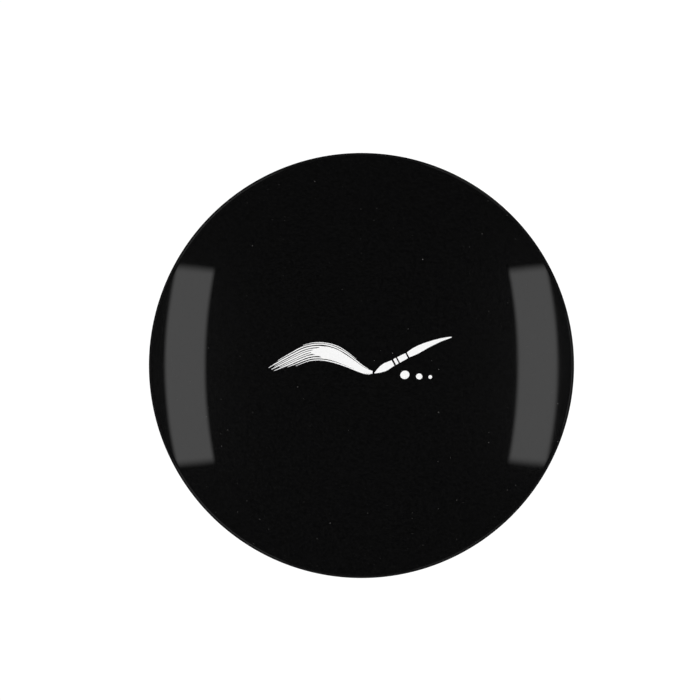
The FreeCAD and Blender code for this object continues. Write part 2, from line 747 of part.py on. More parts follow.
def turn_base(body):
    """The round bowl of the base."""
    inner_curve = dim("curve_radius") - "base_wall"
    inside = dim("base_radius") - "base_wall"
    floor = dim("base_under") + "base_wall"
    flat_radius = curve_reach("curve_radius", "base_under")
    outline = [
        (0, "base_under"),
        (flat_radius, "base_under", ("curve_radius", True, False)),
        ("base_radius", "curve_height"),
        ("base_radius", dim("base_top") - "base_rim_chamfer"),
        (dim("base_radius") - "base_rim_chamfer", "base_top"),
        (inside, "base_top"),
        (inside, "curve_height", (inner_curve, False, False)),
        (curve_reach(inner_curve, floor), floor),
        (0, floor),
    ]
    sketch = new_sketch(body, "base_profile", "XZ_Plane", [outline])
    turned = revolve(body, "base_turn", sketch)
    round_edges(
        body, "base_low_edge", turned, "base_edge_fillet",
        circle_at(flat_radius, "base_under"),
    )


def add_base_posts(body):
    """Posts for the deck screws and the retainer screws."""
    place = deck_screw_place()
    sketch = new_sketch(
        body, "deck_post_sketch", "XY_Plane",
        [("circle", place, place, "deck_post_radius")],
        offset="post_start",
    )
    post = pad(body, "deck_post", sketch, dim("deck_bottom") - "post_start")
    polar(body, "deck_posts", [post], 4)
    sketch = new_sketch(
        body, "retainer_post_sketch", "XY_Plane",
        retainer_screw_circles("retainer_post_radius"),
        offset="post_start",
    )
    pad(body, "retainer_posts", sketch, dim("retainer_bottom") - "post_start")


def trim_base(body):
    """Cut everything back to the outer surface."""
    outside = dim("base_radius") + "trim_margin"
    outline = [
        (curve_reach("curve_radius", "base_under") + "trim_inset", "base_under"),
        (
            curve_reach("curve_radius", "trim_height"),
            "trim_height",
            ("curve_radius", True, False),
        ),
        ("base_radius", "curve_height"),
        ("base_radius", "base_top"),
        (outside, "base_top"),
        (outside, "base_under"),
    ]
    sketch = new_sketch(body, "trim_sketch", "XZ_Plane", [outline])
    revolve(body, "trim_outside", sketch, cut=True)


def add_base_hinge(body):
    """Notch with two knuckles, bored for the pin."""
    # the notch leaves room for the lid's edge as it swings down behind the axis
    notch_back = dim("hinge_back") + "sweep_radius"
    notch_top = dim("base_top") + OVERCUT
    notch = [
        ("notch_front", "notch_floor"),
        ("hinge_back", "notch_floor"),
        (
            "hinge_back",
            dim("hinge_height") - "sweep_radius",
            ("sweep_radius", True, False),
        ),
        (notch_back, "hinge_height"),
        (notch_back, notch_top),
        ("notch_front", notch_top),
    ]
    sketch = new_sketch(body, "notch_sketch", "YZ_Plane", [notch])
    pocket(body, "hinge_notch", sketch, dim("notch_half") * 2, both=True)

    root_front = dim("notch_front") - "knuckle_root_front"
    root_bottom = dim("notch_floor") - "knuckle_root_depth"
    outline = [
        (root_front, root_bottom),
        ("hinge_back", root_bottom),
        (
            "hinge_back",
            dim("hinge_height") - "knuckle_radius",
            ("knuckle_radius", True, True),
        ),
        (dim("hinge_back") - "knuckle_radius", "hinge_height"),
        (root_front, "hinge_height"),
    ]
    sketch = new_sketch(
        body, "knuckle_sketch", "YZ_Plane", [outline], offset="base_knuckle_start"
    )
    width = dim("base_knuckle_end") - "base_knuckle_start"
    knuckle = pad(body, "hinge_knuckle", sketch, width)
    mirror(body, "hinge_knuckles", [knuckle])

    # the bore is blind at the left and runs out of the base at the right
    sketch = new_sketch(
        body, "base_bore_sketch", "YZ_Plane",
        [("circle", "hinge_back", "hinge_height", "bore_radius")],
        offset=-(dim("pin_half") + "pin_end_gap"),
    )
    pocket(body, "pin_bore", sketch, dim("pin_half") + "lid_radius", back=True)


def cut_base_openings(body):
    """Button window, pilot holes and recesses for the feet."""
    window_middle = 58.0  # middle of the window cut, from the axis
    window_depth = 8.0
    sketch = new_sketch(
        body, "window_sketch", "XZ_Plane",
        [centred_box("window_half", "window_bottom", "window_top")],
        offset=window_middle,
    )
    pocket(body, "button_window", sketch, window_depth, both=True)
    sketch = new_sketch(
        body, "deck_hole_sketch", "XY_Plane",
        corner_circles(deck_screw_place(), "screw_hole_radius"),
        offset="deck_bottom",
    )
    pocket(body, "deck_holes", sketch, "deck_screw_length")
    sketch = new_sketch(
        body, "retainer_hole_sketch", "XY_Plane",
        retainer_screw_circles("screw_hole_radius"),
        offset="retainer_bottom",
    )
    pocket(body, "retainer_holes", sketch, "retainer_hole_depth")
    sketch = new_sketch(
        body, "foot_recess_sketch", "XY_Plane",
        corner_circles(dim("foot_place"), "foot_recess_radius"),
        offset="base_under",
    )
    depth = dim("foot_recess_top") - "base_under"
    pocket(body, "foot_recesses", sketch, depth, back=True)


def build_base_shell():
    body = new_body("base_shell")
    turn_base(body)
    wall_block(
        body, "hinge_housing", "housing_half", "housing_front", 1,
        "housing_bottom", "base_top",
    )
    wall_block(
        body, "latch_boss", "boss_half", "boss_back", -1, "boss_bottom", "window_top"
    )
    add_base_posts(body)
    trim_base(body)
    add_base_hinge(body)
    cut_base_openings(body)
    return body


# ------------------------------------------------------------------- deck ring
def build_deck_ring():
    """Ring screwed into the base, with a rebate that carries the tray's flange."""
    body = new_body("deck_ring")
    outline = [
        ("deck_inside", "deck_bottom"),
        ("deck_outside", "deck_bottom"),
        ("deck_outside", "deck_top"),
        (dim("deck_rebate") + "deck_chamfer", "deck_top"),
        ("deck_rebate", dim("deck_top") - "deck_chamfer"),
        ("deck_rebate", "deck_step"),
        ("deck_inside", "deck_step"),
    ]
    sketch = new_sketch(body, "deck_profile", "XZ_Plane", [outline])
    revolve(body, "deck_turn", sketch)

    outside = 60.0  # beyond the ring, along Y
    latch_back = -42.0  # back of the latch pocket, inside the ring's opening
    above = dim("deck_top") + OVERCUT
    through, upwards = 5.0, 4.0  # depths that clear the ring
    latch_depth = 3.0
    place = deck_screw_place()
    # sketch, pocket, outlines, height, depth, whether the cut runs upwards
    cuts = [
        (
            "deck_hinge_sketch", "deck_hinge_cut",
            [centred_box("deck_hinge_half", "deck_hinge_front", outside)],
            above, through, False,
        ),
        (
            "deck_latch_sketch", "deck_latch_pocket",
            [centred_box("deck_latch_half", -outside, latch_back)],
            "deck_step", latch_depth, False,
        ),
        (
            "hook_slot_sketch", "hook_slot",
            [centred_box("slot_half", -dim("slot_front"), -dim("slot_back"))],
            above, through, False,
        ),
        (
            "scoop_sketch", "finger_scoops",
            circle_pair("scoop_centre", 0, "scoop_radius"),
            "scoop_floor", upwards, True,
        ),
        (
            "deck_pass_sketch", "deck_pass_holes",
            corner_circles(place, "screw_pass_radius"),
            above, through, False,
        ),
        (
            "deck_counterbore_sketch", "deck_counterbores",
            corner_circles(place, "deck_counterbore"),
            "deck_counterbore_floor", upwards, True,
        ),
    ]
    for sketch_name, name, loops, height, depth, back in cuts:
        sketch = new_sketch(body, sketch_name, "XY_Plane", loops, offset=height)
        pocket(body, name, sketch, depth, back=back)
    return body


# ------------------------------------------------------------------- hinge pin
def build_hinge_pin():
    body = new_body("hinge_pin")
    sketch = new_sketch(body, "pin_sketch", "YZ_Plane", [("circle", 0, 0, "pin_radius")])
    rod = pad(body, "pin_pad", sketch, dim("pin_half") * 2, both=True)
    # the end circles are shorter than the edge along the pin
    round_edges(
        body, "pin_ends", rod, "pin_chamfer",
        lambda edge: edge.Length < VALUE["pin_half"], chamfer=True,
    )
    body.setExpression("Placement.Base.y", "Dims.hinge_back")
    body.setExpression("Placement.Base.z", "Dims.hinge_height")
    return body


# ----------------------------------------------------------------------- latch
def add_button_face(body):
    """Curved face that fills the window, with upright grip grooves."""
    curve = dim("curve_radius") - "button_gap"
    outside = dim("base_radius") - "button_gap"
    outline = [
        (-outside, "button_top"),
        (-outside, "curve_height", (curve, True, False)),
        (-curve_reach(curve, "button_bottom"), "button_bottom"),
        (-dim("button_inside"), "button_bottom"),
        (-dim("button_inside"), "button_top"),
    ]
    sketch = new_sketch(body, "button_face_sketch", "YZ_Plane", [outline])
    revolve(body, "button_face", sketch, angle=VALUE["button_sweep"], both=True)

    # boxes that take off the face beyond the button's width
    side_end, side_bottom, side_top = 14.0, 7.0, 16.0
    side_middle, side_depth = 57.0, 12.0
    sketch = new_sketch(
        body, "button_side_sketch", "XZ_Plane",
        box_pair("button_half", side_end, side_bottom, side_top),
        offset=side_middle,
    )
    pocket(body, "button_sides", sketch, side_depth, both=True)

    groove_bottom = dim("button_bottom") + "grip_groove_margin"
    groove_top = dim("button_top") - "grip_groove_margin"
    grooves = []
    for step in (-2, -1, 0, 1, 2):
        middle = dim("grip_groove_pitch") * step
        grooves.append(
            box_loop(
                middle - "grip_groove_half", middle + "grip_groove_half",
                groove_bottom, groove_top,
            )
        )
    groove_cut = 3.0  # from the groove's floor out past the face
    sketch = new_sketch(
        body, "button_grip_sketch", "XZ_Plane", grooves,
        offset=dim("base_radius") - "grip_groove_depth",
    )
    pocket(body, "button_grip", sketch, groove_cut, back=True)


def add_button_slider(body):
    """Arms, slider bar, wings and spring pegs behind the button's face."""
    sketch = new_sketch(
        body, "button_arm_sketch", "XY_Plane",
        box_pair("arm_inside", "arm_outside", -dim("arm_front"), -dim("bar_back")),
        offset="button_bottom",
    )
    pad(body, "button_arms", sketch, dim("button_top") - "button_bottom")
    bar = [
        (-dim("bar_front"), "bar_bottom"),
        (-dim("bar_back"), "bar_bottom"),
        (-dim("bar_back"), "button_top"),
        (-(dim("bar_front") - "bar_lead"), "button_top"),
        (-dim("bar_front"), dim("button_top") - "bar_lead"),
    ]
    sketch = new_sketch(body, "button_bar_sketch", "YZ_Plane", [bar])
    pad(body, "button_bar", sketch, dim("arm_outside") * 2, both=True)
    wings = box_pair(
        dim("arm_outside") - OVERLAP, "wing_end", -dim("wing_front"), -dim("wing_back")
    )
    sketch = new_sketch(
        body, "button_wing_sketch", "XY_Plane", wings, offset="wing_bottom"
    )
    pad(body, "button_wings", sketch, dim("wing_top") - "wing_bottom")
    sketch = new_sketch(
        body, "button_peg_sketch", "XZ_Plane",
        circle_pair("spring_side", "spring_height", "peg_radius"),
        offset="button_peg_end",
    )
    pad(body, "button_pegs", sketch, dim("wing_back") - "button_peg_end" + OVERLAP)


def build_latch_button():
    body = new_body("latch_button")
    add_button_face(body)
    add_button_slider(body)
    return body


def build_latch_retainer():
    """Angle screwed into the base behind the button, with pegs for the springs."""
    body = new_body("latch_retainer")
    outline = [
        (-dim("retainer_front"), "retainer_bottom"),
        (-dim("retainer_wall_back"), "retainer_bottom"),
        (-dim("retainer_wall_back"), "button_top"),
        (-dim("retainer_wall_front"), "button_top"),
        (-dim("retainer_wall_front"), "retainer_plate_top"),
        (-dim("retainer_front"), "retainer_plate_top"),
    ]
    sketch = new_sketch(body, "retainer_profile", "YZ_Plane", [outline])
    pad(body, "retainer_angle", sketch, dim("retainer_half") * 2, both=True)
    sketch = new_sketch(
        body, "retainer_peg_sketch", "XZ_Plane",
        circle_pair("spring_side", "spring_height", "peg_radius"),
        offset=dim("retainer_wall_front") - OVERLAP,
    )
    length = dim("retainer_peg_end") - "retainer_wall_front" + OVERLAP
    pad(body, "retainer_pegs", sketch, length)
    through = 4.0  # clears the plate
    sketch = new_sketch(
        body, "retainer_pass_sketch", "XY_Plane",
        retainer_screw_circles("screw_pass_radius"),
        offset=dim("retainer_plate_top") + OVERCUT,
    )
    pocket(body, "retainer_pass_holes", sketch, through)
    return body


def build_spring(label, side):
    """A coil about +Z, then laid along +Y from the button to the retainer."""
    body = new_body(label)
    height = dim("spring_front") - "spring_back"
    wire = ("circle", "spring_mean", 0, "spring_wire")
    sketch = new_sketch(body, label + "_wire", "XZ_Plane", [wire])
    coil = body.newObject("PartDesign::AdditiveHelix", label + "_coil")
    coil.Profile = sketch
    coil.ReferenceAxis = (sketch, ["V_Axis"])
    coil.Mode = 2  # sized by height and turns
    coil.Height = height.value
    coil.Turns = VALUE["spring_turns"]
    coil.setExpression("Height", height.text)
    coil.setExpression("Turns", "Dims.spring_turns")
    settle(body, coil, "add")
    body.Placement = FreeCAD.Placement(
        FreeCAD.Vector(0, 0, 0), FreeCAD.Rotation(FreeCAD.Vector(1, 0, 0), -90)
    )
    body.setExpression("Placement.Base.x", "Dims.spring_side * %d" % side)
    body.setExpression("Placement.Base.y", "-1 * Dims.spring_front")
    body.setExpression("Placement.Base.z", "Dims.spring_height")
    return body


# ---------------------------------------------------------------------- screws
def build_screw_pattern():
    """A deck screw with the underside of its head at the origin."""
    body = new_body("screw_pattern")
    end = -dim("deck_screw_length")
    outline = [
        (0, end),
        ("screw_tip_radius", end),
        ("screw_shaft_radius", end + "screw_tip_length"),
        ("screw_shaft_radius", 0),
        ("screw_head_radius", 0),
        ("screw_head_radius", "screw_head_side"),
        ("screw_crown_radius", "screw_head_height"),
        (0, "screw_head_height"),
    ]
    sketch = new_sketch(body, "screw_profile", "XZ_Plane", [outline])
    revolve(body, "screw_turn", sketch)
    half_length = dim("cross_length") * 0.5
    half_width = dim("cross_width") * 0.5
    slots = [
        ("screw_cross_sketch", "screw_slot_one", half_length, half_width),
        ("screw_cross_two_sketch", "screw_slot_two", half_width, half_length),
    ]
    for sketch_name, name, half_x, half_y in slots:
        sketch = new_sketch(
            body, sketch_name, "XY_Plane", [centred_box(half_x, -half_y, half_y)],
            offset="screw_head_height",
        )
        pocket(body, name, sketch, "cross_depth")
    return body


def slab(bottom, height):
    """A box about Z, wider than a screw."""
    half = 4.0
    corner = FreeCAD.Vector(-half, -half, bottom)
    return Part.makeBox(2 * half, 2 * half, height, corner)


def build_screws(pattern, label, places, length, top):
    """Identical screws at (x, y, turn in degrees), cut to length."""
    full = VALUE["deck_screw_length"]
    tip_length = VALUE["screw_tip_length"]
    master = pattern.Shape.copy()
    if length < full:
        # the same screw with a shorter shaft: lift the tip, keep the head
        shaft = length - tip_length
        above, below = 4.0, 0.2  # room over the head and under the tip
        keep = master.common(slab(-shaft, shaft + above))
        tip = master.common(slab(-full - below, tip_length + below))
        tip.translate(FreeCAD.Vector(0, 0, full - length))
        master = keep.fuse(tip).removeSplitter()
    solids = []
    for x, y, turn in places:
        screw = master.copy()
        screw.Placement = FreeCAD.Placement(
            FreeCAD.Vector(x, y, top), FreeCAD.Rotation(FreeCAD.Vector(0, 0, 1), turn)
        )
        solids.append(screw.Solids[0])
    feature = doc.addObject("Part::Feature", label)
    feature.Label = label
    feature.Shape = Part.makeCompound(solids)
    return feature


def build_all_screws():
    """The deck screws and the retainer screws, each at its own turn."""
    pattern = build_screw_pattern()
    place = deck_screw_place().value
    deck_turns = (20, 75, 48, 5)
    deck_screws = build_screws(
        pattern, "deck_screws",
        [(place * sx, place * sy, turn) for (sx, sy), turn in zip(CORNERS, deck_turns)],
        VALUE["deck_screw_length"], VALUE["deck_counterbore_floor"],
    )
    side, back = VALUE["retainer_screw_side"], VALUE["retainer_screw_back"]
    retainer_screws = build_screws(
        pattern, "latch_retainer_screws", [(side, -back, 33), (-side, -back, 62)],
        VALUE["retainer_screw_length"], VALUE["retainer_plate_top"],
    )
    return [deck_screws, retainer_screws]


# --------------------------------------------------------------- tray contents
def build_water_tray():
    """Flanged tray with three bayonet tabs, each between two stops."""
    body = new_body("water_tray")
    outer_foot = dim("tray_outside") - "tray_outer_draft"
    inner_foot = dim("tray_inside") - "tray_inner_draft"
    outline = [
        (0, "tray_bottom"),
        (outer_foot, "tray_bottom"),
        ("tray_outside", "deck_step"),
        ("tray_flange", "deck_step"),
        ("tray_flange", "deck_top"),
        ("tray_inside", "deck_top"),
        (inner_foot, "tray_floor"),
        (0, "tray_floor"),
    ]
    sketch = new_sketch(body, "tray_profile", "XZ_Plane", [outline])
    newest = revolve(body, "tray_turn", sketch)
    # fillet, its radius, radius and height of the edge
    fillets = [
        ("tray_outer_edge", "tray_outer_fillet", outer_foot, "tray_bottom"),
        ("tray_inner_edge", "tray_inner_fillet", inner_foot, "tray_floor"),
        ("tray_flange_edge", "tray_flange_fillet", "tray_flange", "deck_top"),
    ]
    for name, fillet, radius, height in fillets:
        newest = round_edges(body, name, newest, fillet, circle_at(radius, height))

    def wall_sector(first, last):
        outer = dim("tray_inside") + RING_OVERLAP
        return ring_sector("tab_inside", outer, 90 + dim(first), 90 + dim(last))

    sketch = new_sketch(
        body, "tab_sketch", "XY_Plane",
        [wall_sector(-dim("tab_half_angle"), "tab_half_angle")],
        offset="tab_bottom",
    )
    tab = pad(body, "bayonet_tab", sketch, dim("tab_top") - "tab_bottom")
    sketch = new_sketch(
        body, "stop_sketch", "XY_Plane",
        [
            wall_sector("stop_first_start", "stop_first_end"),
            wall_sector("stop_last_start", "stop_last_end"),
        ],
        offset="stop_bottom",
    )
    stop = pad(body, "bayonet_stop", sketch, dim("tab_top") - "stop_bottom")
    polar(body, "bayonet", [tab, stop], 3)
    return body


def build_paper_ring():
    """Twist-lock ring over the paper, with three lugs and two finger grips."""
    body = new_body("paper_ring")
    outline = [
        ("hold_inside", "hold_bottom"),
        ("hold_outside", "hold_bottom"),
        ("hold_outside", "hold_top"),
        ("hold_slope", "hold_top"),
        ("hold_inside", "hold_inner_edge"),
    ]
    sketch = new_sketch(body, "paper_ring_profile", "XZ_Plane", [outline])
    turned = revolve(body, "paper_ring_turn", sketch)
    round_edges(
        body, "paper_ring_edge", turned, "hold_fillet",
        circle_at("hold_slope", "hold_top"),
    )
    half = dim("lug_half_angle")
    inner = dim("hold_outside") - RING_OVERLAP
    sketch = new_sketch(
        body, "lug_sketch", "XY_Plane",
        [ring_sector(inner, "lug_outside", 90 - half, 90 + half)],
        offset="lug_bottom",
    )
    lug = pad(body, "bayonet_lug", sketch, dim("lug_top") - "lug_bottom")
    polar(body, "bayonet_lugs", [lug], 3)
    half = dim("grip_half_angle")
    sketch = new_sketch(
        body, "grip_sketch", "XY_Plane",
        [
            ring_sector("grip_inside", "grip_outside", middle - half, middle + half)
            for middle in (0, 180)
        ],
        offset=dim("hold_top") - RING_OVERLAP,
    )
    pad(body, "finger_grips", sketch, dim("grip_top") - "hold_top" + RING_OVERLAP)
    return body


def build_sponge_pad():
    body = new_body("sponge_pad")
    sketch = new_sketch(
        body, "sponge_sketch", "XY_Plane", [("circle", 0, 0, "sponge_radius")],
        offset="sponge_bottom",
    )
    block = pad(body, "sponge_block", sketch, dim("sponge_top") - "sponge_bottom")
    round_edges(
        body, "sponge_edges", block, "sponge_fillet",
        lambda edge: edge.BoundBox.ZLength < 0.01,
    )
    return body


def build_palette_paper():
    body = new_body("palette_paper")
    sketch = new_sketch(
        body, "paper_sketch", "XY_Plane", [("circle", 0, 0, "paper_radius")],
        offset="paper_bottom",
    )
    pad(body, "paper_sheet", sketch, dim("paper_top") - "paper_bottom")
    return body


# ------------------------------------------------------------------------ feet
def build_foot(label, side_x, side_y):
    body = new_body(label)
    sketch = new_sketch(
        body, label + "_sketch", "XY_Plane", [("circle", 0, 0, "foot_radius")]
    )
    block = pad(body, label + "_pad", sketch, "foot_height")
    round_edges(body, label + "_edge", block, "foot_edge", circle_at("foot_radius", 0))
    body.setExpression("Placement.Base.x", "Dims.foot_place * %d" % side_x)
    body.setExpression("Placement.Base.y", "Dims.foot_place * %d" % side_y)
    return body


# ------------------------------------------------------------ build and export
nodes = [
    build_lid_shell(),
    build_lid_ring(),
    build_lid_gasket(),
    build_lid_liner(),
    build_base_shell(),
    build_deck_ring(),
    build_hinge_pin(),
    build_latch_button(),
    build_latch_retainer(),
    *build_all_screws(),
    build_spring("latch_spring_left", -1),
    build_spring("latch_spring_right", 1),
    build_water_tray(),
    build_paper_ring(),
    build_sponge_pad(),
    build_palette_paper(),
    build_foot("foot_front_left", -1, -1),
    build_foot("foot_front_right", 1, -1),
    build_foot("foot_rear_left", -1, 1),
    build_foot("foot_rear_right", 1, 1),
]
doc.recompute()

for item in doc.Objects:
    if "Invalid" in item.State or "Error" in item.State:
        raise RuntimeError("%s did not recompute: %s" % (item.Label, item.State))
for node in nodes:
    if node.Shape.isNull() or not node.Shape.isValid() or not node.Shape.Solids:
        raise RuntimeError("%s has no valid shape" % node.Label)

os.makedirs("parts", exist_ok=True)
for node in nodes:
    node.Shape.exportStep("parts/%s.step" % node.Label)
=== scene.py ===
# A round, gloss-black wet palette: a domed lid with a printed mark, over a base that
# holds a tray, a sponge and a sheet of palette paper. The CAD pieces get materials, and
# the cover, print, springs, sponge and paper are modelled here.
# The case is centred on the Z axis with the lid upwards and its front towards -Y.
# Pieces are modelled in millimetres; Blender works in metres.
import bpy
import bmesh
import math
import random
from contextlib import contextmanager
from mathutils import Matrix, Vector, geometry, noise


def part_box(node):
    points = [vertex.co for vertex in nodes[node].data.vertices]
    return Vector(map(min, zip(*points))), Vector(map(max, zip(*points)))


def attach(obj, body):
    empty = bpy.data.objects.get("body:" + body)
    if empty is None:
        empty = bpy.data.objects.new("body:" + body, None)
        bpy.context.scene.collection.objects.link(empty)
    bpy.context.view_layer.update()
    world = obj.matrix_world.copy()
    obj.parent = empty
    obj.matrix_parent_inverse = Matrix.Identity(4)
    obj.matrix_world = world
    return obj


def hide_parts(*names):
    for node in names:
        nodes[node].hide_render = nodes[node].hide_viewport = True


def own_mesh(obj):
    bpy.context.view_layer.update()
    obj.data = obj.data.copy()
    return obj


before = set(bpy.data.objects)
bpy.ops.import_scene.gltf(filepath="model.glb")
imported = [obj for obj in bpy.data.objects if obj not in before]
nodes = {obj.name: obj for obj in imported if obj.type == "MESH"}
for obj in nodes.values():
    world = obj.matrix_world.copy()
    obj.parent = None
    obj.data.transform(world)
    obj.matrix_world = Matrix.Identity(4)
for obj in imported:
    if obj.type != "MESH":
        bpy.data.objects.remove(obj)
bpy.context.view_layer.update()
scene = bpy.context.scene

MM = 0.001
SIM_SCALE = 20.0  # cloth pieces are simulated this much larger than life


def box_mm(node):
    low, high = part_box(node)
    return [c / MM for c in low], [c / MM for c in high]


# The lid's cover: a spherical dome with a rounded edge and a short vertical skirt
lid_low, lid_high = box_mm("lid_shell")
LID_R = round(lid_high[0], 2)
APEX_Z = round(lid_high[2], 2)
RIM_Z = round(lid_low[2], 2)
DOME_R = 140.0
DOME_Z = APEX_Z - DOME_R  # centre of the dome's sphere
WALL = 2.0
EDGE_R = 1.6
BORE_R = 57.7  # inside of the skirt

# The camera looks straight down from above the lid's skirt
SKIRT_Z = 17.3 * MM
CAMERA_DISTANCE = 1.2
LID_SHARE = 0.303642857  # lid radius as a share of the picture's width
CAMERA_SHIFT = (-0.016385714, 0.022157143)


# ------------------------------------------------------------------ mesh helpers


def link(obj):
    scene.collection.objects.link(obj)
    return obj


def shade_smooth(mesh):
    mesh.polygons.foreach_set("use_smooth", [True] * len(mesh.polygons))


def mesh_object(name, verts, faces, scale=MM):
    mesh = bpy.data.meshes.new(name)
    mesh.from_pydata([(x * scale, y * scale, z * scale) for x, y, z in verts], [], faces)
    mesh.validate()
    mesh.update()
    shade_smooth(mesh)
    return link(bpy.data.objects.new(name, mesh))


@contextmanager
def edited(obj):
    """The object's mesh as a bmesh, written back at the end."""
    bm = bmesh.new()
    bm.from_mesh(obj.data)
    yield bm
    bm.to_mesh(obj.data)
    bm.free()


def outward(obj):
    with edited(obj) as bm:
        bmesh.ops.recalc_face_normals(bm, faces=bm.faces)


def sharp_by_angle(obj, degrees):
    """Smooth shading, with edges sharper than this kept crisp."""
    limit = math.radians(degrees)
    with edited(obj) as bm:
        for edge in bm.edges:
            edge.smooth = not (len(edge.link_faces) == 2 and edge.calc_face_angle(0) > limit)
        for face in bm.faces:
            face.smooth = True


def turned(name, profile, segments, scale=MM):
    """A solid of revolution about Z from a closed loop of (r, z); r = 0 makes a pole."""
    verts, rows = [], []
    for r, z in profile:
        first = len(verts)
        if r < 1e-9:
            verts.append((0, 0, z))
        else:
            for k in range(segments):
                a = 2 * math.pi * k / segments
                verts.append((r * math.cos(a), r * math.sin(a), z))
        rows.append(range(first, len(verts)))
    faces = []
    for row, following in zip(rows, rows[1:] + rows[:1]):
        if len(row) == 1 and len(following) == 1:
            continue
        for k in range(segments):
            k2 = (k + 1) % segments
            if len(row) == 1:
                faces.append((row[0], following[k], following[k2]))
            elif len(following) == 1:
                faces.append((row[k], following[0], row[k2]))
            else:
                faces.append((row[k], following[k], following[k2], row[k2]))
    obj = mesh_object(name, verts, faces, scale)
    outward(obj)
    return obj


def arc_points(centre_r, centre_z, radius, start, end, steps):
    """steps + 1 points of an arc, angles in degrees from +r towards +z."""
    points = []
    for k in range(steps + 1):
        a = math.radians(start + (end - start) * k / steps)
        points.append((centre_r + radius * math.cos(a), centre_z + radius * math.sin(a)))
    return points


def bake(obj):
    """Puts the evaluated mesh in place of the object's own, with no modifiers left."""
    depsgraph = bpy.context.evaluated_depsgraph_get()
    mesh = bpy.data.meshes.new_from_object(obj.evaluated_get(depsgraph))
    obj.modifiers.clear()
    old = obj.data
    obj.data = mesh
    bpy.data.meshes.remove(old)


def subdivide_once(obj):
    """Adds one level of subdivision, then bakes all the object's modifiers."""
    modifier = obj.modifiers.new("sub", "SUBSURF")
    modifier.levels = modifier.render_levels = 1
    bake(obj)


def add_cloth(obj, name, **settings):
    cloth = obj.modifiers.new(name, "CLOTH")
    for key, value in settings.items():
        setattr(cloth.settings, key, value)
    return cloth


def run_cloth(last):
    scene.frame_start, scene.frame_end = 1, last
    for f in range(1, last + 1):
        scene.frame_set(f)


def keep_within(co, radius):
    """Pulls a vertex position back to this distance from the Z axis."""
    reach = math.hypot(co.x, co.y)
    if reach > radius:
        co.x *= radius / reach
        co.y *= radius / reach


def dress(obj, material):
    obj.data.materials.clear()
    obj.data.materials.append(material)


def install(obj, material, ride, replaces=None):
    """Gives a modelled piece its material and tells the frame what it is."""
    dress(obj, material)
    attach(obj, ride)
    if replaces:
        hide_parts(replaces)


# -------------------------------------------------------------- shader node helpers


class Nodes:
    """Builds the node tree of a material or world. Any input takes a value or a socket."""

    def __init__(self, owner, coordinates="Object", output="ShaderNodeOutputMaterial"):
        owner.use_nodes = True
        self.tree = owner.node_tree
        self.tree.nodes.clear()
        self.output = self.add(output).inputs["Surface"]
        self.coord = self.add("ShaderNodeTexCoord").outputs[coordinates]

    def add(self, kind, **props):
        node = self.tree.nodes.new(kind)
        for key, value in props.items():
            setattr(node, key, value)
        return node

    def feed(self, socket, value):
        if isinstance(value, bpy.types.NodeSocket):
            self.tree.links.new(value, socket)
        elif socket.type == "RGBA" and len(value) == 3:
            socket.default_value = (*value, 1)
        else:
            socket.default_value = value

    def made(self, kind, inputs, output=0, **props):
        """Adds a node, feeds its named or numbered inputs and returns one output."""
        node = self.add(kind, **props)
        for key, value in inputs.items():
            self.feed(node.inputs[key], value)
        return node.outputs[output]

    def noise(self, scale, detail=3.0, rough=0.55, vector=None, distortion=0.0):
        return self.made("ShaderNodeTexNoise", {
            "Vector": vector or self.coord, "Scale": scale, "Detail": detail,
            "Roughness": rough, "Distortion": distortion}, "Fac")

    def voronoi(self, scale, output="Distance", dimensions="3D"):
        return self.made("ShaderNodeTexVoronoi", {"Vector": self.coord, "Scale": scale},
                         output, voronoi_dimensions=dimensions)

    def mapped(self, scale, turn=0.0):
        """Object coordinates turned about Z by degrees and scaled on each axis."""
        return self.made("ShaderNodeMapping", {
            "Vector": self.coord, "Rotation": (0, 0, math.radians(turn)), "Scale": scale})

    def ramp(self, value, stops, smooth=False):
        """A grey ramp; stops are (position, level)."""
        node = self.add("ShaderNodeValToRGB")
        self.feed(node.inputs[0], value)
        elements = node.color_ramp.elements
        while len(elements) < len(stops):
            elements.new(0.5)
        for k, (position, level) in enumerate(stops):
            elements[k].position = position
            elements[k].color = (level, level, level, 1)
        if smooth:
            node.color_ramp.interpolation = "EASE"
        return node.outputs[0]

    def mask(self, value, start, end, smooth=False):
        """Rises from 0 at start to 1 at end."""
        return self.ramp(value, [(start, 0.0), (end, 1.0)], smooth)

    def math(self, operation, *values):
        return self.made("ShaderNodeMath", dict(enumerate(values)), operation=operation)

    def times(self, first, *others):
        for other in others:
            first = self.math("MULTIPLY", first, other)
        return first

    def scaled(self, value, gain, base):
        """value * gain + base"""
        return self.math("MULTIPLY_ADD", value, gain, base)

    def mix(self, factor, low, high):
        """Blends from colour low, at factor 0, to colour high."""
        node = self.add("ShaderNodeMix", data_type="RGBA")
        for name, value in (("Factor", factor), ("A", low), ("B", high)):
            socket = [s for s in node.inputs if s.name == name and s.enabled][0]
            self.feed(socket, value)
        return [s for s in node.outputs if s.enabled][0]

    def bump(self, height, strength, distance, normal=None):
        inputs = {"Height": height, "Strength": strength, "Distance": distance}
        if normal is not None:
            inputs["Normal"] = normal
        return self.made("ShaderNodeBump", inputs)

    def bevel(self, radius):
        return self.made("ShaderNodeBevel", {"Radius": radius}, samples=4)

    def edges(self, start, end):
        """A mask of convex edges, by how pointed the surface is."""
        pointiness = self.add("ShaderNodeNewGeometry").outputs["Pointiness"]
        return self.mask(pointiness, start, end)

    def axes(self, vector):
        node = self.add("ShaderNodeSeparateXYZ")
        self.feed(node.inputs[0], vector)
        return node.outputs

    def emission(self, strength):
        return self.made("ShaderNodeEmission", {"Strength": strength})

    def mix_shader(self, factor, low, high):
        return self.made("ShaderNodeMixShader", {0: factor, 1: low, 2: high})


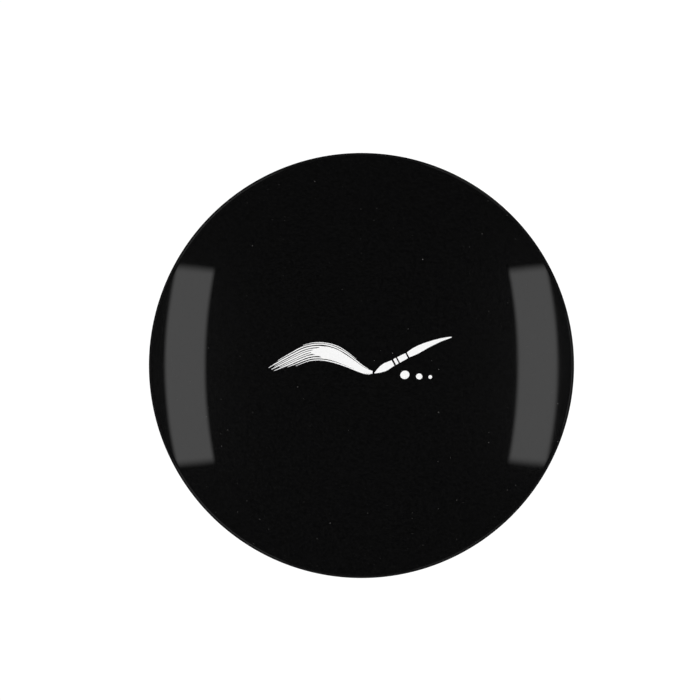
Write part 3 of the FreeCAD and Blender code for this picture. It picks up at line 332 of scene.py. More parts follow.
class Surface(Nodes):
    """A material with a Principled shader."""

    def __init__(self, name):
        self.material = bpy.data.materials.new(name)
        super().__init__(self.material)
        self.principled = self.add("ShaderNodeBsdfPrincipled")
        self.feed(self.output, self.principled.outputs[0])

    def set(self, **values):
        """Feeds inputs of the shader, with _ for each space in a name."""
        for key, value in values.items():
            self.feed(self.principled.inputs[key.replace("_", " ")], value)
        return self.material


# ---------------------------------------------------------------- materials


def specks(m, scale, radius, share, flat):
    """A mask of tiny irregular dots: a share of the cells hold one. flat dots lie
    on what faces up, as dust does."""
    dimensions = "2D" if flat else "3D"
    cell = m.add("ShaderNodeSeparateColor")
    m.feed(cell.inputs[0], m.voronoi(scale, "Color", dimensions))
    chosen = m.math("GREATER_THAN", cell.outputs[0], 1 - share)
    size = m.scaled(cell.outputs[1], gain=radius * 0.8, base=radius * 0.35)
    distance = m.voronoi(scale, "Distance", dimensions)
    ragged = m.scaled(m.noise(scale=5200, detail=2, rough=0.6), gain=radius * 0.9, base=distance)
    # the noise adds about half its gain to the distance, which the size makes up for
    spot = m.math("LESS_THAN", ragged, m.math("ADD", size, radius * 0.45))
    level = m.scaled(cell.outputs[2], gain=0.8, base=0.2)
    return m.times(spot, chosen, level)


def hairlines(m, angle, start, end):
    """Fine, straight handling marks in one direction, from noise stretched 60 to 1."""
    along = m.mapped(scale=(1, 0.016, 1), turn=angle)
    return m.mask(m.noise(scale=4200, detail=1, rough=0.4, vector=along), start, end)


def gloss_black(name, dust, flow, bevel=0.0, flat=False, matt=None):
    """Piano-black injection-moulded plastic: a near-mirror skin over a slightly hazy body,
    with faint orange peel, hairlines from handling, smudges and a little dust. matt(m)
    gives the mask of an area that is left unpolished and so dark: painted shade for the
    reflections that its recesses would hide."""
    m = Surface(name)
    hair = m.math("MAXIMUM", hairlines(m, angle=24, start=0.70, end=0.74),
                  hairlines(m, angle=-51, start=0.71, end=0.75))
    patches = m.mask(m.noise(scale=70, detail=3, rough=0.6), start=0.50, end=0.66)
    hair = m.times(hair, patches)
    dots = m.math("MAXIMUM",
                  specks(m, scale=230, radius=0.030, share=0.060 * dust, flat=flat),
                  specks(m, scale=560, radius=0.052, share=0.035 * dust, flat=flat))
    drift = m.noise(scale=26, detail=2, rough=0.6)
    dots = m.times(dots, m.ramp(drift, stops=[(0.38, 0.25), (0.58, 1.0)]))

    smudge = m.noise(scale=28, detail=4, rough=0.6, distortion=0.6)
    rough = m.scaled(m.mask(smudge, start=0.45, end=0.75), gain=0.030, base=0.030)
    rough = m.scaled(hair, gain=0.05, base=rough)
    rough = m.scaled(dots, gain=0.5, base=rough)

    fine = m.mask(m.noise(scale=1300, detail=3, rough=0.6), start=0.30, end=0.70)
    body = m.mix(fine, low=(0.0003, 0.0003, 0.0004), high=(0.0030, 0.0030, 0.0031))
    colour = m.mix(dots, low=body, high=(0.16, 0.157, 0.150))

    normal = m.bevel(bevel) if bevel else None
    waves = m.noise(scale=45, detail=1, rough=0.4)
    normal = m.bump(waves, strength=0.10 * flow, distance=0.00012, normal=normal)
    peel = m.noise(scale=900, detail=2, rough=0.5)
    normal = m.bump(peel, strength=0.05, distance=0.000006, normal=normal)
    normal = m.bump(dots, strength=0.5, distance=0.00002, normal=normal)

    skin = 1.0
    # painted shade: the matt area loses the polished skin and its reflections, so that it looks
    # dark
    if matt is not None:
        area = matt(m)
        skin = m.scaled(area, gain=-0.94, base=1.0)
        colour = m.mix(area, low=colour, high=(0.0035, 0.0034, 0.0033))
    return m.set(
        Base_Color=colour, Roughness=0.36, IOR=1.5, Specular_IOR_Level=0.05, Normal=normal,
        Coat_Weight=skin, Coat_IOR=1.5, Coat_Roughness=rough, Coat_Normal=normal)


def grip_slots(m):
    """The five finger slots in the front of the push button, in metres, where painted shade takes
    away the button's polish.
    """
    slots_y = (0.0580, 0.05898)  # from and to, measured outwards
    half_width = 0.0036
    bottom_z = 0.0098
    position = m.axes(m.coord)
    deep = m.math("LESS_THAN", m.math("ABSOLUTE", position["Y"]), slots_y[1])
    front = m.math("GREATER_THAN", m.math("ABSOLUTE", position["Y"]), slots_y[0])
    middle = m.math("LESS_THAN", m.math("ABSOLUTE", position["X"]), half_width)
    raised = m.math("GREATER_THAN", position["Z"], bottom_z)
    return m.times(m.times(deep, front), m.times(middle, raised))


def satin_black(name):
    """Spark-eroded satin black plastic, paler where edges have rubbed."""
    m = Surface(name)
    grain = m.noise(scale=2600, detail=3, rough=0.7)
    broad = m.noise(scale=90, detail=3, rough=0.6)
    wear = m.mask(m.noise(scale=340, detail=4, rough=0.7), start=0.62, end=0.74)
    rubbed = m.times(wear, m.times(m.edges(start=0.53, end=0.60), 0.6))
    colour = m.mix(broad, low=(0.0125, 0.0125, 0.0135), high=(0.021, 0.021, 0.022))
    return m.set(
        Base_Color=m.mix(rubbed, low=colour, high=(0.07, 0.07, 0.072)),
        Roughness=m.scaled(broad, gain=0.16, base=0.36),
        IOR=1.5,
        Normal=m.bump(grain, strength=0.35, distance=0.00003, normal=m.bevel(0.00012)))


def moulded(name, low, high, rough, stain, translucent, stain_amount):
    """Plain moulded plastic with flow marks, a fine grain and light handling wear."""
    m = Surface(name)
    flow = m.noise(scale=38, detail=3, rough=0.5, vector=m.mapped((1, 0.4, 1)), distortion=0.8)
    fine = m.noise(scale=1500, detail=3, rough=0.65)
    blot = m.mask(m.noise(scale=70, detail=5, rough=0.65, distortion=1.2), start=0.60, end=0.72)
    colour = m.mix(m.times(blot, stain_amount), low=m.mix(flow, low, high), high=stain)
    hair = hairlines(m, angle=12, start=0.68, end=0.73)
    roughness = m.scaled(flow, gain=0.10, base=rough)
    normal = m.bump(fine, strength=0.18, distance=0.00002, normal=m.bevel(0.00015))
    return m.set(
        Base_Color=colour,
        Roughness=m.scaled(hair, gain=0.15, base=roughness),
        IOR=1.48,
        Normal=m.bump(hair, strength=0.2, distance=0.00001, normal=normal),
        Subsurface_Weight=translucent,
        Subsurface_Radius=(1.0, 0.9, 0.8),
        Subsurface_Scale=0.0012)


def foot_rubber(name):
    """Matt black rubber with pale lint on it."""
    m = Surface(name)
    broad = m.noise(scale=140, detail=4, rough=0.6)
    fine = m.noise(scale=1400, detail=4, rough=0.7)
    lint = m.mask(m.noise(scale=900, detail=5, rough=0.75), start=0.62, end=0.75)
    colour = m.mix(broad, low=(0.018, 0.018, 0.019), high=(0.032, 0.032, 0.033))
    return m.set(
        Base_Color=m.mix(m.times(lint, 0.55), low=colour, high=(0.16, 0.155, 0.145)),
        Roughness=m.scaled(fine, gain=0.18, base=0.62),
        IOR=1.43,
        Normal=m.bump(fine, strength=0.4, distance=0.00004, normal=m.bevel(0.0002)))


def silicone(name):
    m = Surface(name)
    broad = m.noise(scale=120, detail=3, rough=0.5)
    fine = m.noise(scale=1800, detail=3, rough=0.6)
    return m.set(
        Base_Color=m.mix(broad, low=(0.55, 0.57, 0.56), high=(0.68, 0.70, 0.69)),
        Roughness=m.scaled(fine, gain=0.15, base=0.34),
        IOR=1.41,
        Subsurface_Weight=0.6,
        Subsurface_Radius=(1.0, 0.95, 0.9),
        Subsurface_Scale=0.0018,
        Normal=m.bump(fine, strength=0.15, distance=0.00003))


def steel(name, stretch, tone):
    """Brushed steel; tone scales its brightness."""
    m = Surface(name)
    brushed = m.noise(scale=1500, detail=4, rough=0.7, vector=m.mapped(stretch))
    broad = m.noise(scale=200, detail=3, rough=0.6)
    metal = m.mix(brushed, low=(0.40 * tone,) * 3, high=(0.62 * tone,) * 3)
    tarnish = (0.30 * tone, 0.27 * tone, 0.23 * tone)
    return m.set(
        Base_Color=m.mix(m.times(broad, 0.3), low=metal, high=tarnish),
        Metallic=1.0,
        Roughness=m.scaled(brushed, gain=0.16, base=0.20),
        Normal=m.bump(brushed, strength=0.25, distance=0.00001, normal=m.bevel(0.00008)))


def black_oxide(name):
    """Blackened steel, with bare metal on worn edges."""
    m = Surface(name)
    broad = m.noise(scale=700, detail=4, rough=0.65)
    wear = m.mask(m.noise(scale=1600, detail=4, rough=0.7), start=0.42, end=0.60)
    worn = m.times(m.edges(start=0.52, end=0.60), wear)
    oxide = m.mix(broad, low=(0.018, 0.018, 0.021), high=(0.035, 0.034, 0.037))
    return m.set(
        Base_Color=m.mix(worn, low=oxide, high=(0.42, 0.41, 0.40)),
        Metallic=m.scaled(worn, gain=0.4, base=0.55),
        Roughness=m.scaled(broad, gain=0.2, base=0.28),
        Normal=m.bump(broad, strength=0.15, distance=0.00002, normal=m.bevel(0.0001)))


def cellulose(name):
    """Yellow sponge, with painted shade that darkens the inside of its pores."""
    m = Surface(name)
    # painted shade: the further into a pore, the darker the colour; the same mask gives the
    # pores' bump
    pore_depth_and_shade = m.times(m.mask(m.voronoi(scale=900), start=0.0, end=0.35),
                    m.ramp(m.voronoi(scale=380), stops=[(0.05, 0.2), (0.4, 1.0)]))
    tone = m.noise(scale=160, detail=4, rough=0.6)
    colour = m.mix(tone, low=(0.80, 0.60, 0.22), high=(0.90, 0.74, 0.36))
    return m.set(
        Base_Color=m.mix(pore_depth_and_shade, low=(0.42, 0.28, 0.09), high=colour),
        Roughness=0.86,
        Subsurface_Weight=0.25,
        Subsurface_Radius=(1.0, 0.7, 0.3),
        Subsurface_Scale=0.001,
        Sheen_Weight=0.15,
        Normal=m.bump(pore_depth_and_shade, strength=0.8, distance=0.00025))


def parchment(name):
    """Greaseproof palette paper lying wet on a sponge: fibres, slightly darker damp areas."""
    m = Surface(name)
    fibre = m.math("MAXIMUM", *(
        m.noise(scale=700, detail=5, rough=0.7, vector=m.mapped(stretch))
        for stretch in ((1, 0.16, 1), (0.16, 1, 1))))
    damp = m.mask(m.noise(scale=34, detail=4, rough=0.55, distortion=0.5), start=0.40, end=0.62)
    colour = m.mix(fibre, low=(0.74, 0.68, 0.54), high=(0.86, 0.82, 0.71))
    dry_rough, damp_gloss = 0.62, 0.24
    return m.set(
        Base_Color=m.mix(m.times(damp, 0.35), low=colour, high=(0.66, 0.57, 0.38)),
        Roughness=m.math("SUBTRACT", dry_rough, m.times(damp, damp_gloss)),
        IOR=1.46,
        Subsurface_Weight=0.2,
        Subsurface_Radius=(1.0, 0.85, 0.6),
        Subsurface_Scale=0.0006,
        Normal=m.bump(fibre, strength=0.35, distance=0.00003))


def ink(name):
    """Pad-printed white ink: opaque, slightly matt, with thin pinholes and a faint painted glow.
    """
    m = Surface(name)
    fine = m.noise(scale=2600, detail=4, rough=0.7)
    broad = m.noise(scale=260, detail=3, rough=0.6)
    pinholes = m.ramp(m.voronoi(scale=1500), stops=[(0.02, 1.0), (0.07, 0.0)])
    thin = m.times(pinholes, m.ramp(broad, stops=[(0.55, 0.0), (0.7, 0.55)]))
    colour = m.mix(fine, low=(0.82, 0.82, 0.82), high=(0.92, 0.92, 0.92))
    return m.set(
        Base_Color=m.mix(thin, low=colour, high=(0.25, 0.25, 0.25)),
        Roughness=m.scaled(fine, gain=0.2, base=0.42),
        IOR=1.5,
        Normal=m.bump(fine, strength=0.25, distance=0.00001),
        # a painted glow: the ink gives off a little light of its own, so that it looks brighter
        Emission_Color=(1, 1, 1),
        Emission_Strength=0.10)


LID_GLOSS = gloss_black("lid_gloss_black", dust=1.0, flow=1.0, flat=True)
BASE_GLOSS = gloss_black("base_gloss_black", dust=0.6, flow=0.6, bevel=0.00012)
# the button's finger slots are left matt and dark as painted shade
BUTTON_GLOSS = gloss_black("button_gloss_black", dust=0.6, flow=0.6, bevel=0.00012,
                           matt=grip_slots)
SATIN = satin_black("satin_black_plastic")
WHITE = moulded("white_plastic", low=(0.76, 0.775, 0.765), high=(0.83, 0.84, 0.83), rough=0.26,
                stain=(0.70, 0.72, 0.66), translucent=0.12, stain_amount=0.25)
LINER = moulded("liner_plastic", low=(0.79, 0.80, 0.795), high=(0.83, 0.84, 0.835), rough=0.36,
                stain=(0.74, 0.74, 0.72), translucent=0.06, stain_amount=0.18)
GREY = moulded("grey_plastic", low=(0.34, 0.36, 0.38), high=(0.42, 0.44, 0.46), rough=0.30,
               stain=(0.28, 0.29, 0.30), translucent=0.05, stain_amount=0.25)
SILICONE = silicone("silicone")
RUBBER = foot_rubber("foot_rubber")
SPONGE = cellulose("cellulose_sponge")
PAPER = parchment("palette_paper_sheet")
PIN_STEEL = steel("pin_steel", stretch=(0.1, 1, 1), tone=1.0)
SPRING_STEEL = steel("spring_steel", stretch=(1, 1, 1), tone=0.85)
OXIDE = black_oxide("black_oxide_steel")
INK = ink("white_print")

CAD_MATERIALS = {
    "base_shell": BASE_GLOSS,
    "latch_button": BUTTON_GLOSS,
    "lid_ring": SATIN,
    "deck_ring": SATIN,
    "latch_retainer": SATIN,
    "lid_gasket": SILICONE,
    "lid_liner": LINER,
    "water_tray": WHITE,
    "paper_ring": GREY,
    "hinge_pin": PIN_STEEL,
    "deck_screws": OXIDE,
    "latch_retainer_screws": OXIDE,
    "foot_front_left": RUBBER,
    "foot_front_right": RUBBER,
    "foot_rear_left": RUBBER,
    "foot_rear_right": RUBBER,
}
for node_name, cad_material in CAD_MATERIALS.items():
    dress(nodes[node_name], cad_material)


# ---------------------------------------------------------------- lid cover

# (radius, height above the rim) of the step inside the rim, going inwards and up
RIM_STEP = [(58.6, 0), (57.45, 0), (57.3, 0.07), (57.3, 0.16), (BORE_R, 0.26), (BORE_R, 0.6)]
CEILING_R = 57.2  # where the skirt's wall has turned into the ceiling

POST_PITCH_R = 44
POST_SIDES = 32
# (z, radius) up a post; the top ring, with no z, follows the ceiling
POST_RINGS = [(19.3, 2.1), (19.6, 2.5), (21.9, 2.5), (None, 2.7)]
POST_SINK = 0.25  # how far a post runs into the dome


def dome_height(x, y, lift=0.0):
    """Height of the dome, or of a surface lifted off it."""
    r = DOME_R + lift
    return DOME_Z + math.sqrt(r * r - x * x - y * y)


def cover_profile():
    edge_r = LID_R - EDGE_R
    edge_z = dome_height(edge_r, 0, lift=-EDGE_R)
    touch = math.degrees(math.atan2(edge_z - DOME_Z, edge_r))
    foot_r = 0.3  # rounding at the bottom of the skirt
    outer = arc_points(0, DOME_Z, DOME_R, 90, touch, steps=140)
    outer[0] = (0.0, APEX_Z)
    outer += arc_points(edge_r, edge_z, EDGE_R, touch, 0, steps=22)[1:]
    outer += [(LID_R, edge_z - 0.35 * k) for k in (1, 2)]
    outer += arc_points(LID_R - foot_r, RIM_Z + foot_r, foot_r, 0, -90, steps=6)

    inner_r = DOME_R - WALL
    ceiling = dome_height(BORE_R, 0, lift=-WALL)
    low = math.degrees(math.atan2(math.sqrt(inner_r ** 2 - CEILING_R ** 2), CEILING_R))
    inner = [(r, RIM_Z + up) for r, up in RIM_STEP]
    inner += [(BORE_R, ceiling - 0.25), (BORE_R - 0.15, ceiling - 0.02)]
    inner += arc_points(0, DOME_Z, inner_r, low, 90, steps=40)
    inner[-1] = (0.0, APEX_Z - WALL)
    return outer + inner


def add_post(bm, centre_x, centre_y):
    """A post that hangs from the dome to clamp the liner."""
    made = []
    for z, r in POST_RINGS:
        for j in range(POST_SIDES):
            a = 2 * math.pi * j / POST_SIDES
            x, y = centre_x + r * math.cos(a), centre_y + r * math.sin(a)
            height = dome_height(x, y, lift=-WALL) + POST_SINK if z is None else z
            made.append(bm.verts.new((x * MM, y * MM, height * MM)))
    for low in range(0, len(made) - POST_SIDES, POST_SIDES):
        high = low + POST_SIDES
        for j in range(POST_SIDES):
            j2 = (j + 1) % POST_SIDES
            side = bm.faces.new((made[low + j], made[low + j2], made[high + j2], made[high + j]))
            side.smooth = True
    for cap in (made[:POST_SIDES][::-1], made[-POST_SIDES:]):
        bm.faces.new(cap).smooth = False


def build_lid_cover():
    cover = turned("lid_cover", cover_profile(), segments=360)
    sharp_by_angle(cover, 50)
    with edited(cover) as bm:
        for k in range(4):
            a = math.radians(45 + 90 * k)
            add_post(bm, POST_PITCH_R * math.cos(a), POST_PITCH_R * math.sin(a))
        bm.normal_update()
    install(cover, LID_GLOSS, ride="lid", replaces="lid_shell")


# ------------------------------------------------------------- printed mark
# A plain picture of a brush laying down a stroke of paint, with three spots beside it.
# It is built of thin sheets that follow the dome, each a grid of (x, y).

MARK_X, MARK_Y = -0.3, 1.7
SHEET_LIFT = 0.024  # above the dome
SHEET_STEP = 0.0022  # extra lift of each sheet, so that overlaps don't flicker
SHEET_SINK = 0.02  # below the dome
MIN_HALF_WIDTH = 0.03

# (x, y) along the middle of the stroke of paint, left to right
SPINE = [(-25.2, -3.1), (-20.0, -0.6), (-14.0, 1.9), (-8.5, 1.7), (-3.6, -0.4), (0.8, -2.9),
         (3.4, -3.7)]

# (side, start, end, half width, wander, phase): side is in half bands from the spine,
# start and end are shares of its length
STREAKS = [
    (0.98, 0.10, 0.90, 0.17, 0.05, 0.3), (0.70, 0.00, 0.60, 0.20, 0.06, 1.9),
    (0.42, 0.06, 0.58, 0.16, 0.05, 3.1), (0.14, 0.02, 0.56, 0.21, 0.04, 4.4),
    (-0.16, 0.09, 0.55, 0.17, 0.05, 5.2), (-0.46, 0.04, 0.56, 0.20, 0.05, 0.9),
    (-0.74, 0.14, 0.62, 0.16, 0.06, 2.4), (-1.02, 0.20, 0.95, 0.15, 0.05, 3.8),
    (1.22, 0.30, 0.72, 0.12, 0.04, 2.2),
]

# parts of the brush: points of (x, y, half width), cells across, steps between points
BRUSH = [
    # bristles
    ([(3.9, -3.85, 0.05), (5.2, -3.1, 0.66), (6.8, -2.2, 1.06), (8.3, -1.4, 0.94),
      (9.1, -0.98, 0.86)], 8, 10),
    # ferrule, in two bands
    ([(9.55, -0.74, 0.86), (10.3, -0.34, 0.86)], 6, 4),
    ([(10.65, -0.15, 0.86), (12.9, 1.05, 0.78)], 6, 6),
    # handle
    ([(13.3, 1.26, 0.76), (15.6, 2.50, 1.02), (18.7, 4.02, 0.80), (22.2, 5.36, 0.46),
      (25.0, 6.12, 0.20), (25.5, 6.22, 0.05)], 8, 10),
]

# spots of paint: (x, y, radius, stretch, turn in degrees)
SPOTS = [(12.4, -4.3, 1.15, 1.12, 18), (16.4, -4.75, 0.82, 1.08, -10),
         (19.5, -4.9, 0.52, 1.0, 0.0)]


def smooth_path(points, steps):
    """Catmull-Rom through (x, y, half width)."""
    path = []
    padded = [points[0]] + list(points) + [points[-1]]
    for i in range(1, len(padded) - 2):
        p0, p1, p2, p3 = (Vector(p) for p in padded[i - 1 : i + 3])
        for k in range(steps):
            t = k / steps
            path.append(
                0.5 * ((2 * p1) + (p2 - p0) * t + (2 * p0 - 5 * p1 + 4 * p2 - p3) * t * t
                       + (3 * p1 - p0 - 3 * p2 + p3) * t ** 3))
    path.append(Vector(points[-1]))
    return path


SPINE_PATH = smooth_path([(x, y, 0) for x, y in SPINE], steps=16)


def ribbon(points, across, steps):
    path = smooth_path(points, steps)
    rows = []
    for i, p in enumerate(path):
        before, after = path[max(i - 1, 0)], path[min(i + 1, len(path) - 1)]
        along = Vector((after.x - before.x, after.y - before.y))
        along = along.normalized() if along.length > 1e-9 else Vector((1, 0))
        half = max(p.z, MIN_HALF_WIDTH)
        row = []
        for k in range(across + 1):
            s = 2 * k / across - 1
            row.append((p.x - along.y * half * s + MARK_X, p.y + along.x * half * s + MARK_Y))
        rows.append(row)
    return rows


def spot(x, y, radius, stretch, turn):
    """A filled round spot as a square grid pushed out to a disc."""
    cells = 10
    cos_turn, sin_turn = math.cos(math.radians(turn)), math.sin(math.radians(turn))
    rows = []
    for i in range(cells + 1):
        row = []
        for k in range(cells + 1):
            u, v = 2 * i / cells - 1, 2 * k / cells - 1
            dx = u * math.sqrt(1 - v * v / 2) * radius * stretch
            dy = v * math.sqrt(1 - u * u / 2) * radius
            row.append((x + dx * cos_turn - dy * sin_turn + MARK_X,
                        y + dx * sin_turn + dy * cos_turn + MARK_Y))
        rows.append(row)
    return rows


def spine_at(t):
    """A point of the stroke's spine and its left-hand normal, t from 0 to 1."""
    place = t * (len(SPINE_PATH) - 1)
    i = min(int(place), len(SPINE_PATH) - 2)
    here, following = SPINE_PATH[i], SPINE_PATH[i + 1]
    along = (following - here).normalized()
    return here.lerp(following, place - i), Vector((-along.y, along.x))


def half_band(t):
    """Half the stroke's width: swells in the middle and narrows towards the brush."""
    swell = math.sin(math.pi * min(1.0, 0.16 + 0.80 * t)) ** 1.2
    narrowing = 1 - 0.55 * max(0.0, t - 0.55) / 0.45
    return 0.42 + 1.75 * swell * narrowing


def stroke_body():
    """The solid part of the stroke, from a third of the way along."""
    points = []
    for k in range(13):
        t = 0.34 + 0.655 * k / 12
        p, normal = spine_at(t)
        lean = 0.10 * math.sin(7 * t)
        half = half_band(t) * 0.80 * min(1.0, 0.25 + 4.2 * k / 12)  # with a tapered start
        points.append((p.x + normal.x * lean, p.y + normal.y * lean, half))
    return ribbon(points, across=8, steps=8)


def streak(side, start, end, half, wander, phase):
    """A bristle mark beside or before the body of the stroke, thin at both ends."""
    points = []
    for k in range(9):
        t = start + (end - start) * k / 8
        p, normal = spine_at(t)
        off = side * half_band(t) + wander * math.sin(phase + 5.3 * t)
        taper = math.sin(math.pi * (0.04 + 0.92 * k / 8)) ** 0.55
        points.append((p.x + normal.x * off, p.y + normal.y * off, half * taper))
    return ribbon(points, across=4, steps=6)


def add_sheet(verts, faces, rows, lift):
    """Adds a thin closed sheet that follows the dome."""
    n, m = len(rows), len(rows[0])
    top = len(verts)
    bottom = top + n * m
    for height in (lift, -SHEET_SINK):
        verts += [(x, y, dome_height(x, y, height)) for row in rows for x, y in row]
    for i in range(n - 1):
        for k in range(m - 1):
            quad = [i * m + k, i * m + k + 1, (i + 1) * m + k + 1, (i + 1) * m + k]
            faces.append(tuple(top + j for j in quad))
            faces.append(tuple(bottom + j for j in reversed(quad)))
    loop = list(range(m)) + [i * m + m - 1 for i in range(1, n)]
    loop += [(n - 1) * m + k for k in range(m - 2, -1, -1)] + [i * m for i in range(n - 2, 0, -1)]
    for a, b in zip(loop, loop[1:] + loop[:1]):
        faces.append((top + b, top + a, bottom + a, bottom + b))


def build_lid_mark():
    sheets = [stroke_body()]
    sheets += [streak(*row) for row in STREAKS]
    sheets += [ribbon(*row) for row in BRUSH]
    sheets += [spot(*row) for row in SPOTS]
    verts, faces = [], []
    for number, rows in enumerate(sheets, 1):
        add_sheet(verts, faces, rows, SHEET_LIFT + SHEET_STEP * number)
    mark = mesh_object("lid_mark", verts, faces)
    outward(mark)
    sharp_by_angle(mark, 40)
    install(mark, INK, ride="lid")


# ------------------------------------------------------------------- springs

WIRE_R = 0.2
WIRE_SIDES = 10
TURNS = 6.2
STEPS_PER_TURN = 40
CLOSED_TURNS = 0.85  # nearly flat at each end
CLOSED_RISE = 0.32 * WIRE_R


def build_spring(name, node):
    """A compression spring with closed ends, along Y, held at its +Y end."""
    low, high = box_mm(node)
    cx, cz = (low[0] + high[0]) / 2, (low[2] + high[2]) / 2
    mean_r = (high[0] - low[0]) / 2 - WIRE_R
    start, end = low[1] + WIRE_R, high[1] - WIRE_R
    total = int(TURNS * STEPS_PER_TURN)
    centres = []
    for i in range(total + 1):
        t = TURNS * i / total
        if t < CLOSED_TURNS:
            y = start + CLOSED_RISE * t / CLOSED_TURNS
        elif t > TURNS - CLOSED_TURNS:
            y = end - CLOSED_RISE * (TURNS - t) / CLOSED_TURNS
        else:
            share = (t - CLOSED_TURNS) / (TURNS - 2 * CLOSED_TURNS)
            y = start + CLOSED_RISE + (end - start - 2 * CLOSED_RISE) * share
        a = 2 * math.pi * t
        centres.append(Vector((cx + mean_r * math.cos(a), y, cz + mean_r * math.sin(a))))
    verts, faces = [], []
    for i, centre in enumerate(centres):
        along = (centres[min(i + 1, total)] - centres[max(i - 1, 0)]).normalized()
        out = Vector((centre.x - cx, 0, centre.z - cz)).normalized()
        up = along.cross(out).normalized()
        out = up.cross(along).normalized()
        for k in range(WIRE_SIDES):
            a = 2 * math.pi * k / WIRE_SIDES
            verts.append(tuple(centre + (out * math.cos(a) + up * math.sin(a)) * WIRE_R))
    for i in range(total):
        here, following = i * WIRE_SIDES, (i + 1) * WIRE_SIDES
        for k in range(WIRE_SIDES):
            k2 = (k + 1) % WIRE_SIDES
            faces.append((here + k, following + k, following + k2, here + k2))
    faces.append(tuple(range(WIRE_SIDES)))
    faces.append(tuple(total * WIRE_SIDES + k for k in reversed(range(WIRE_SIDES))))
    coil = mesh_object(name, verts, faces)
    outward(coil)
    sharp_by_angle(coil, 60)
    install(coil, SPRING_STEEL, ride="base", replaces=node)
    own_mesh(coil)


# -------------------------------------------------------------------- sponge


def sponge_profile(low, high, radius):
    """A disc with rounded edges, a little smaller than the CAD pad."""
    corner = 1.6
    bottom, top = low[2] + 0.25, high[2] - 0.35
    profile = [(0.0, bottom)]
    profile += [(radius * k / 6, bottom) for k in range(1, 6)]
    profile += arc_points(radius - corner, bottom + corner, corner, -90, 0, steps=4)
    profile += arc_points(radius - corner, top - corner, corner, 0, 90, steps=4)
    profile += [(radius * k / 6, top) for k in range(5, 0, -1)]
    return profile + [(0.0, top)]


def swell(sponge, most):
    """Blows the sponge up a little, moving no vertex further than most."""
    rest = [v.co.copy() for v in sponge.data.vertices]
    cloth = add_cloth(
        sponge, "swell", quality=5, mass=0.3, tension_stiffness=15,
        compression_stiffness=15, shear_stiffness=15, bending_stiffness=1.5,
        use_pressure=True, uniform_pressure_force=3.0)
    cloth.settings.effector_weights.gravity = 0
    run_cloth(12)
    bake(sponge)
    for v, start in zip(sponge.data.vertices, rest):
        move = v.co - start
        if move.length > most:
            v.co = start + move * (most / move.length)


def cut_pores(sponge):
    """Cuts the surface back into open pores of two sizes, over a gentle unevenness."""
    for v in sponge.data.vertices:
        p = v.co / SIM_SCALE
        normal = v.normal
        large = noise.voronoi(p * 420)[0]
        small = noise.voronoi(p * 900 + Vector((3, 7, 11)))[0]
        pit = max(0.0, 0.42 - large[0]) * 1.1 + max(0.0, 0.30 - small[0]) * 0.5
        pit += 0.10 * noise.noise(p * 150)
        v.co -= normal * (min(max(pit, 0.0), 0.55) * MM * SIM_SCALE * 0.9)


def build_sponge():
    low, high = box_mm("sponge_pad")
    profile = sponge_profile(low, high, radius=high[0] - 0.75)
    sponge = turned("sponge_block", profile, segments=96, scale=MM * SIM_SCALE)
    remesh = sponge.modifiers.new("voxels", "REMESH")
    remesh.mode = "VOXEL"
    remesh.voxel_size = 0.0016 * SIM_SCALE
    bake(sponge)
    swell(sponge, most=0.30 * MM * SIM_SCALE)
    subdivide_once(sponge)
    cut_pores(sponge)
    # back to life size, and kept inside the CAD pad's box
    for v in sponge.data.vertices:
        v.co /= SIM_SCALE
        v.co.z = min(max(v.co.z, (low[2] + 0.02) * MM), (high[2] - 0.02) * MM)
        keep_within(v.co, (high[0] - 0.05) * MM)
    shade_smooth(sponge.data)
    install(sponge, SPONGE, ride="base", replaces="sponge_pad")


# --------------------------------------------------------------------- paper

HELD_R = 41.0  # the paper is pinned outside this radius
FLAT_R = 41.2  # and lies flat from here outwards
FLAT_BLEND = 3.0  # width over which the cockles fade out
COCKLE_HEIGHT = 0.75
PAPER_THICKNESS = 0.11


def paper_points(radius):
    """Rings of jittered points, with an even rim and centre."""
    rng = random.Random(41)
    step = 1.35
    rings = int(radius / step)
    points = []
    for k in range(rings + 1):
        r = radius - k * radius / rings
        count = max(1, int(2 * math.pi * r / step))
        for j in range(count):
            a = 2 * math.pi * (j + 0.5 * (k % 2)) / count
            shift = turn = 0
            if k > 0 and r >= 0.1:
                shift = rng.uniform(-0.28, 0.28) * step
                turn = rng.uniform(-0.25, 0.25) * step / r
            points.append(Vector(((r + shift) * math.cos(a + turn),
                                  (r + shift) * math.sin(a + turn))))
    return points


def cockle(paper, radius):
    """Lets the paper grow while its rim is held, over a plane in place of the sponge."""
    scale = MM * SIM_SCALE
    held = [v.index for v in paper.data.vertices if v.co.xy.length > HELD_R * scale]
    paper.vertex_groups.new(name="held").add(held, 1.0, "REPLACE")
    corners = [(-60, -60, 0), (60, -60, 0), (60, 60, 0), (-60, 60, 0)]
    plane = mesh_object("wet_sponge_plane", corners, [(0, 1, 2, 3)], scale=scale)
    plane.location.z = -0.012
    plane.modifiers.new("hit", "COLLISION")
    plane.collision.thickness_outer = 0.004
    # a slight unevenness for the cockles to start from
    for v in paper.data.vertices:
        r = v.co.xy.length / (radius * scale)
        uneven = 0.0015 * noise.noise(v.co * 3.1) + 0.0008 * noise.noise(v.co * 9.0)
        v.co.z = uneven * max(0.0, 1 - r ** 6)
    cloth = add_cloth(
        paper, "cockle", quality=8, mass=0.15, air_damping=3.0, tension_stiffness=40,
        compression_stiffness=40, shear_stiffness=20, bending_stiffness=4.0,
        vertex_group_mass="held", shrink_min=-0.012)
    cloth.collision_settings.use_collision = True
    cloth.collision_settings.distance_min = 0.004
    run_cloth(30)
    bake(paper)
    bpy.data.objects.remove(plane)


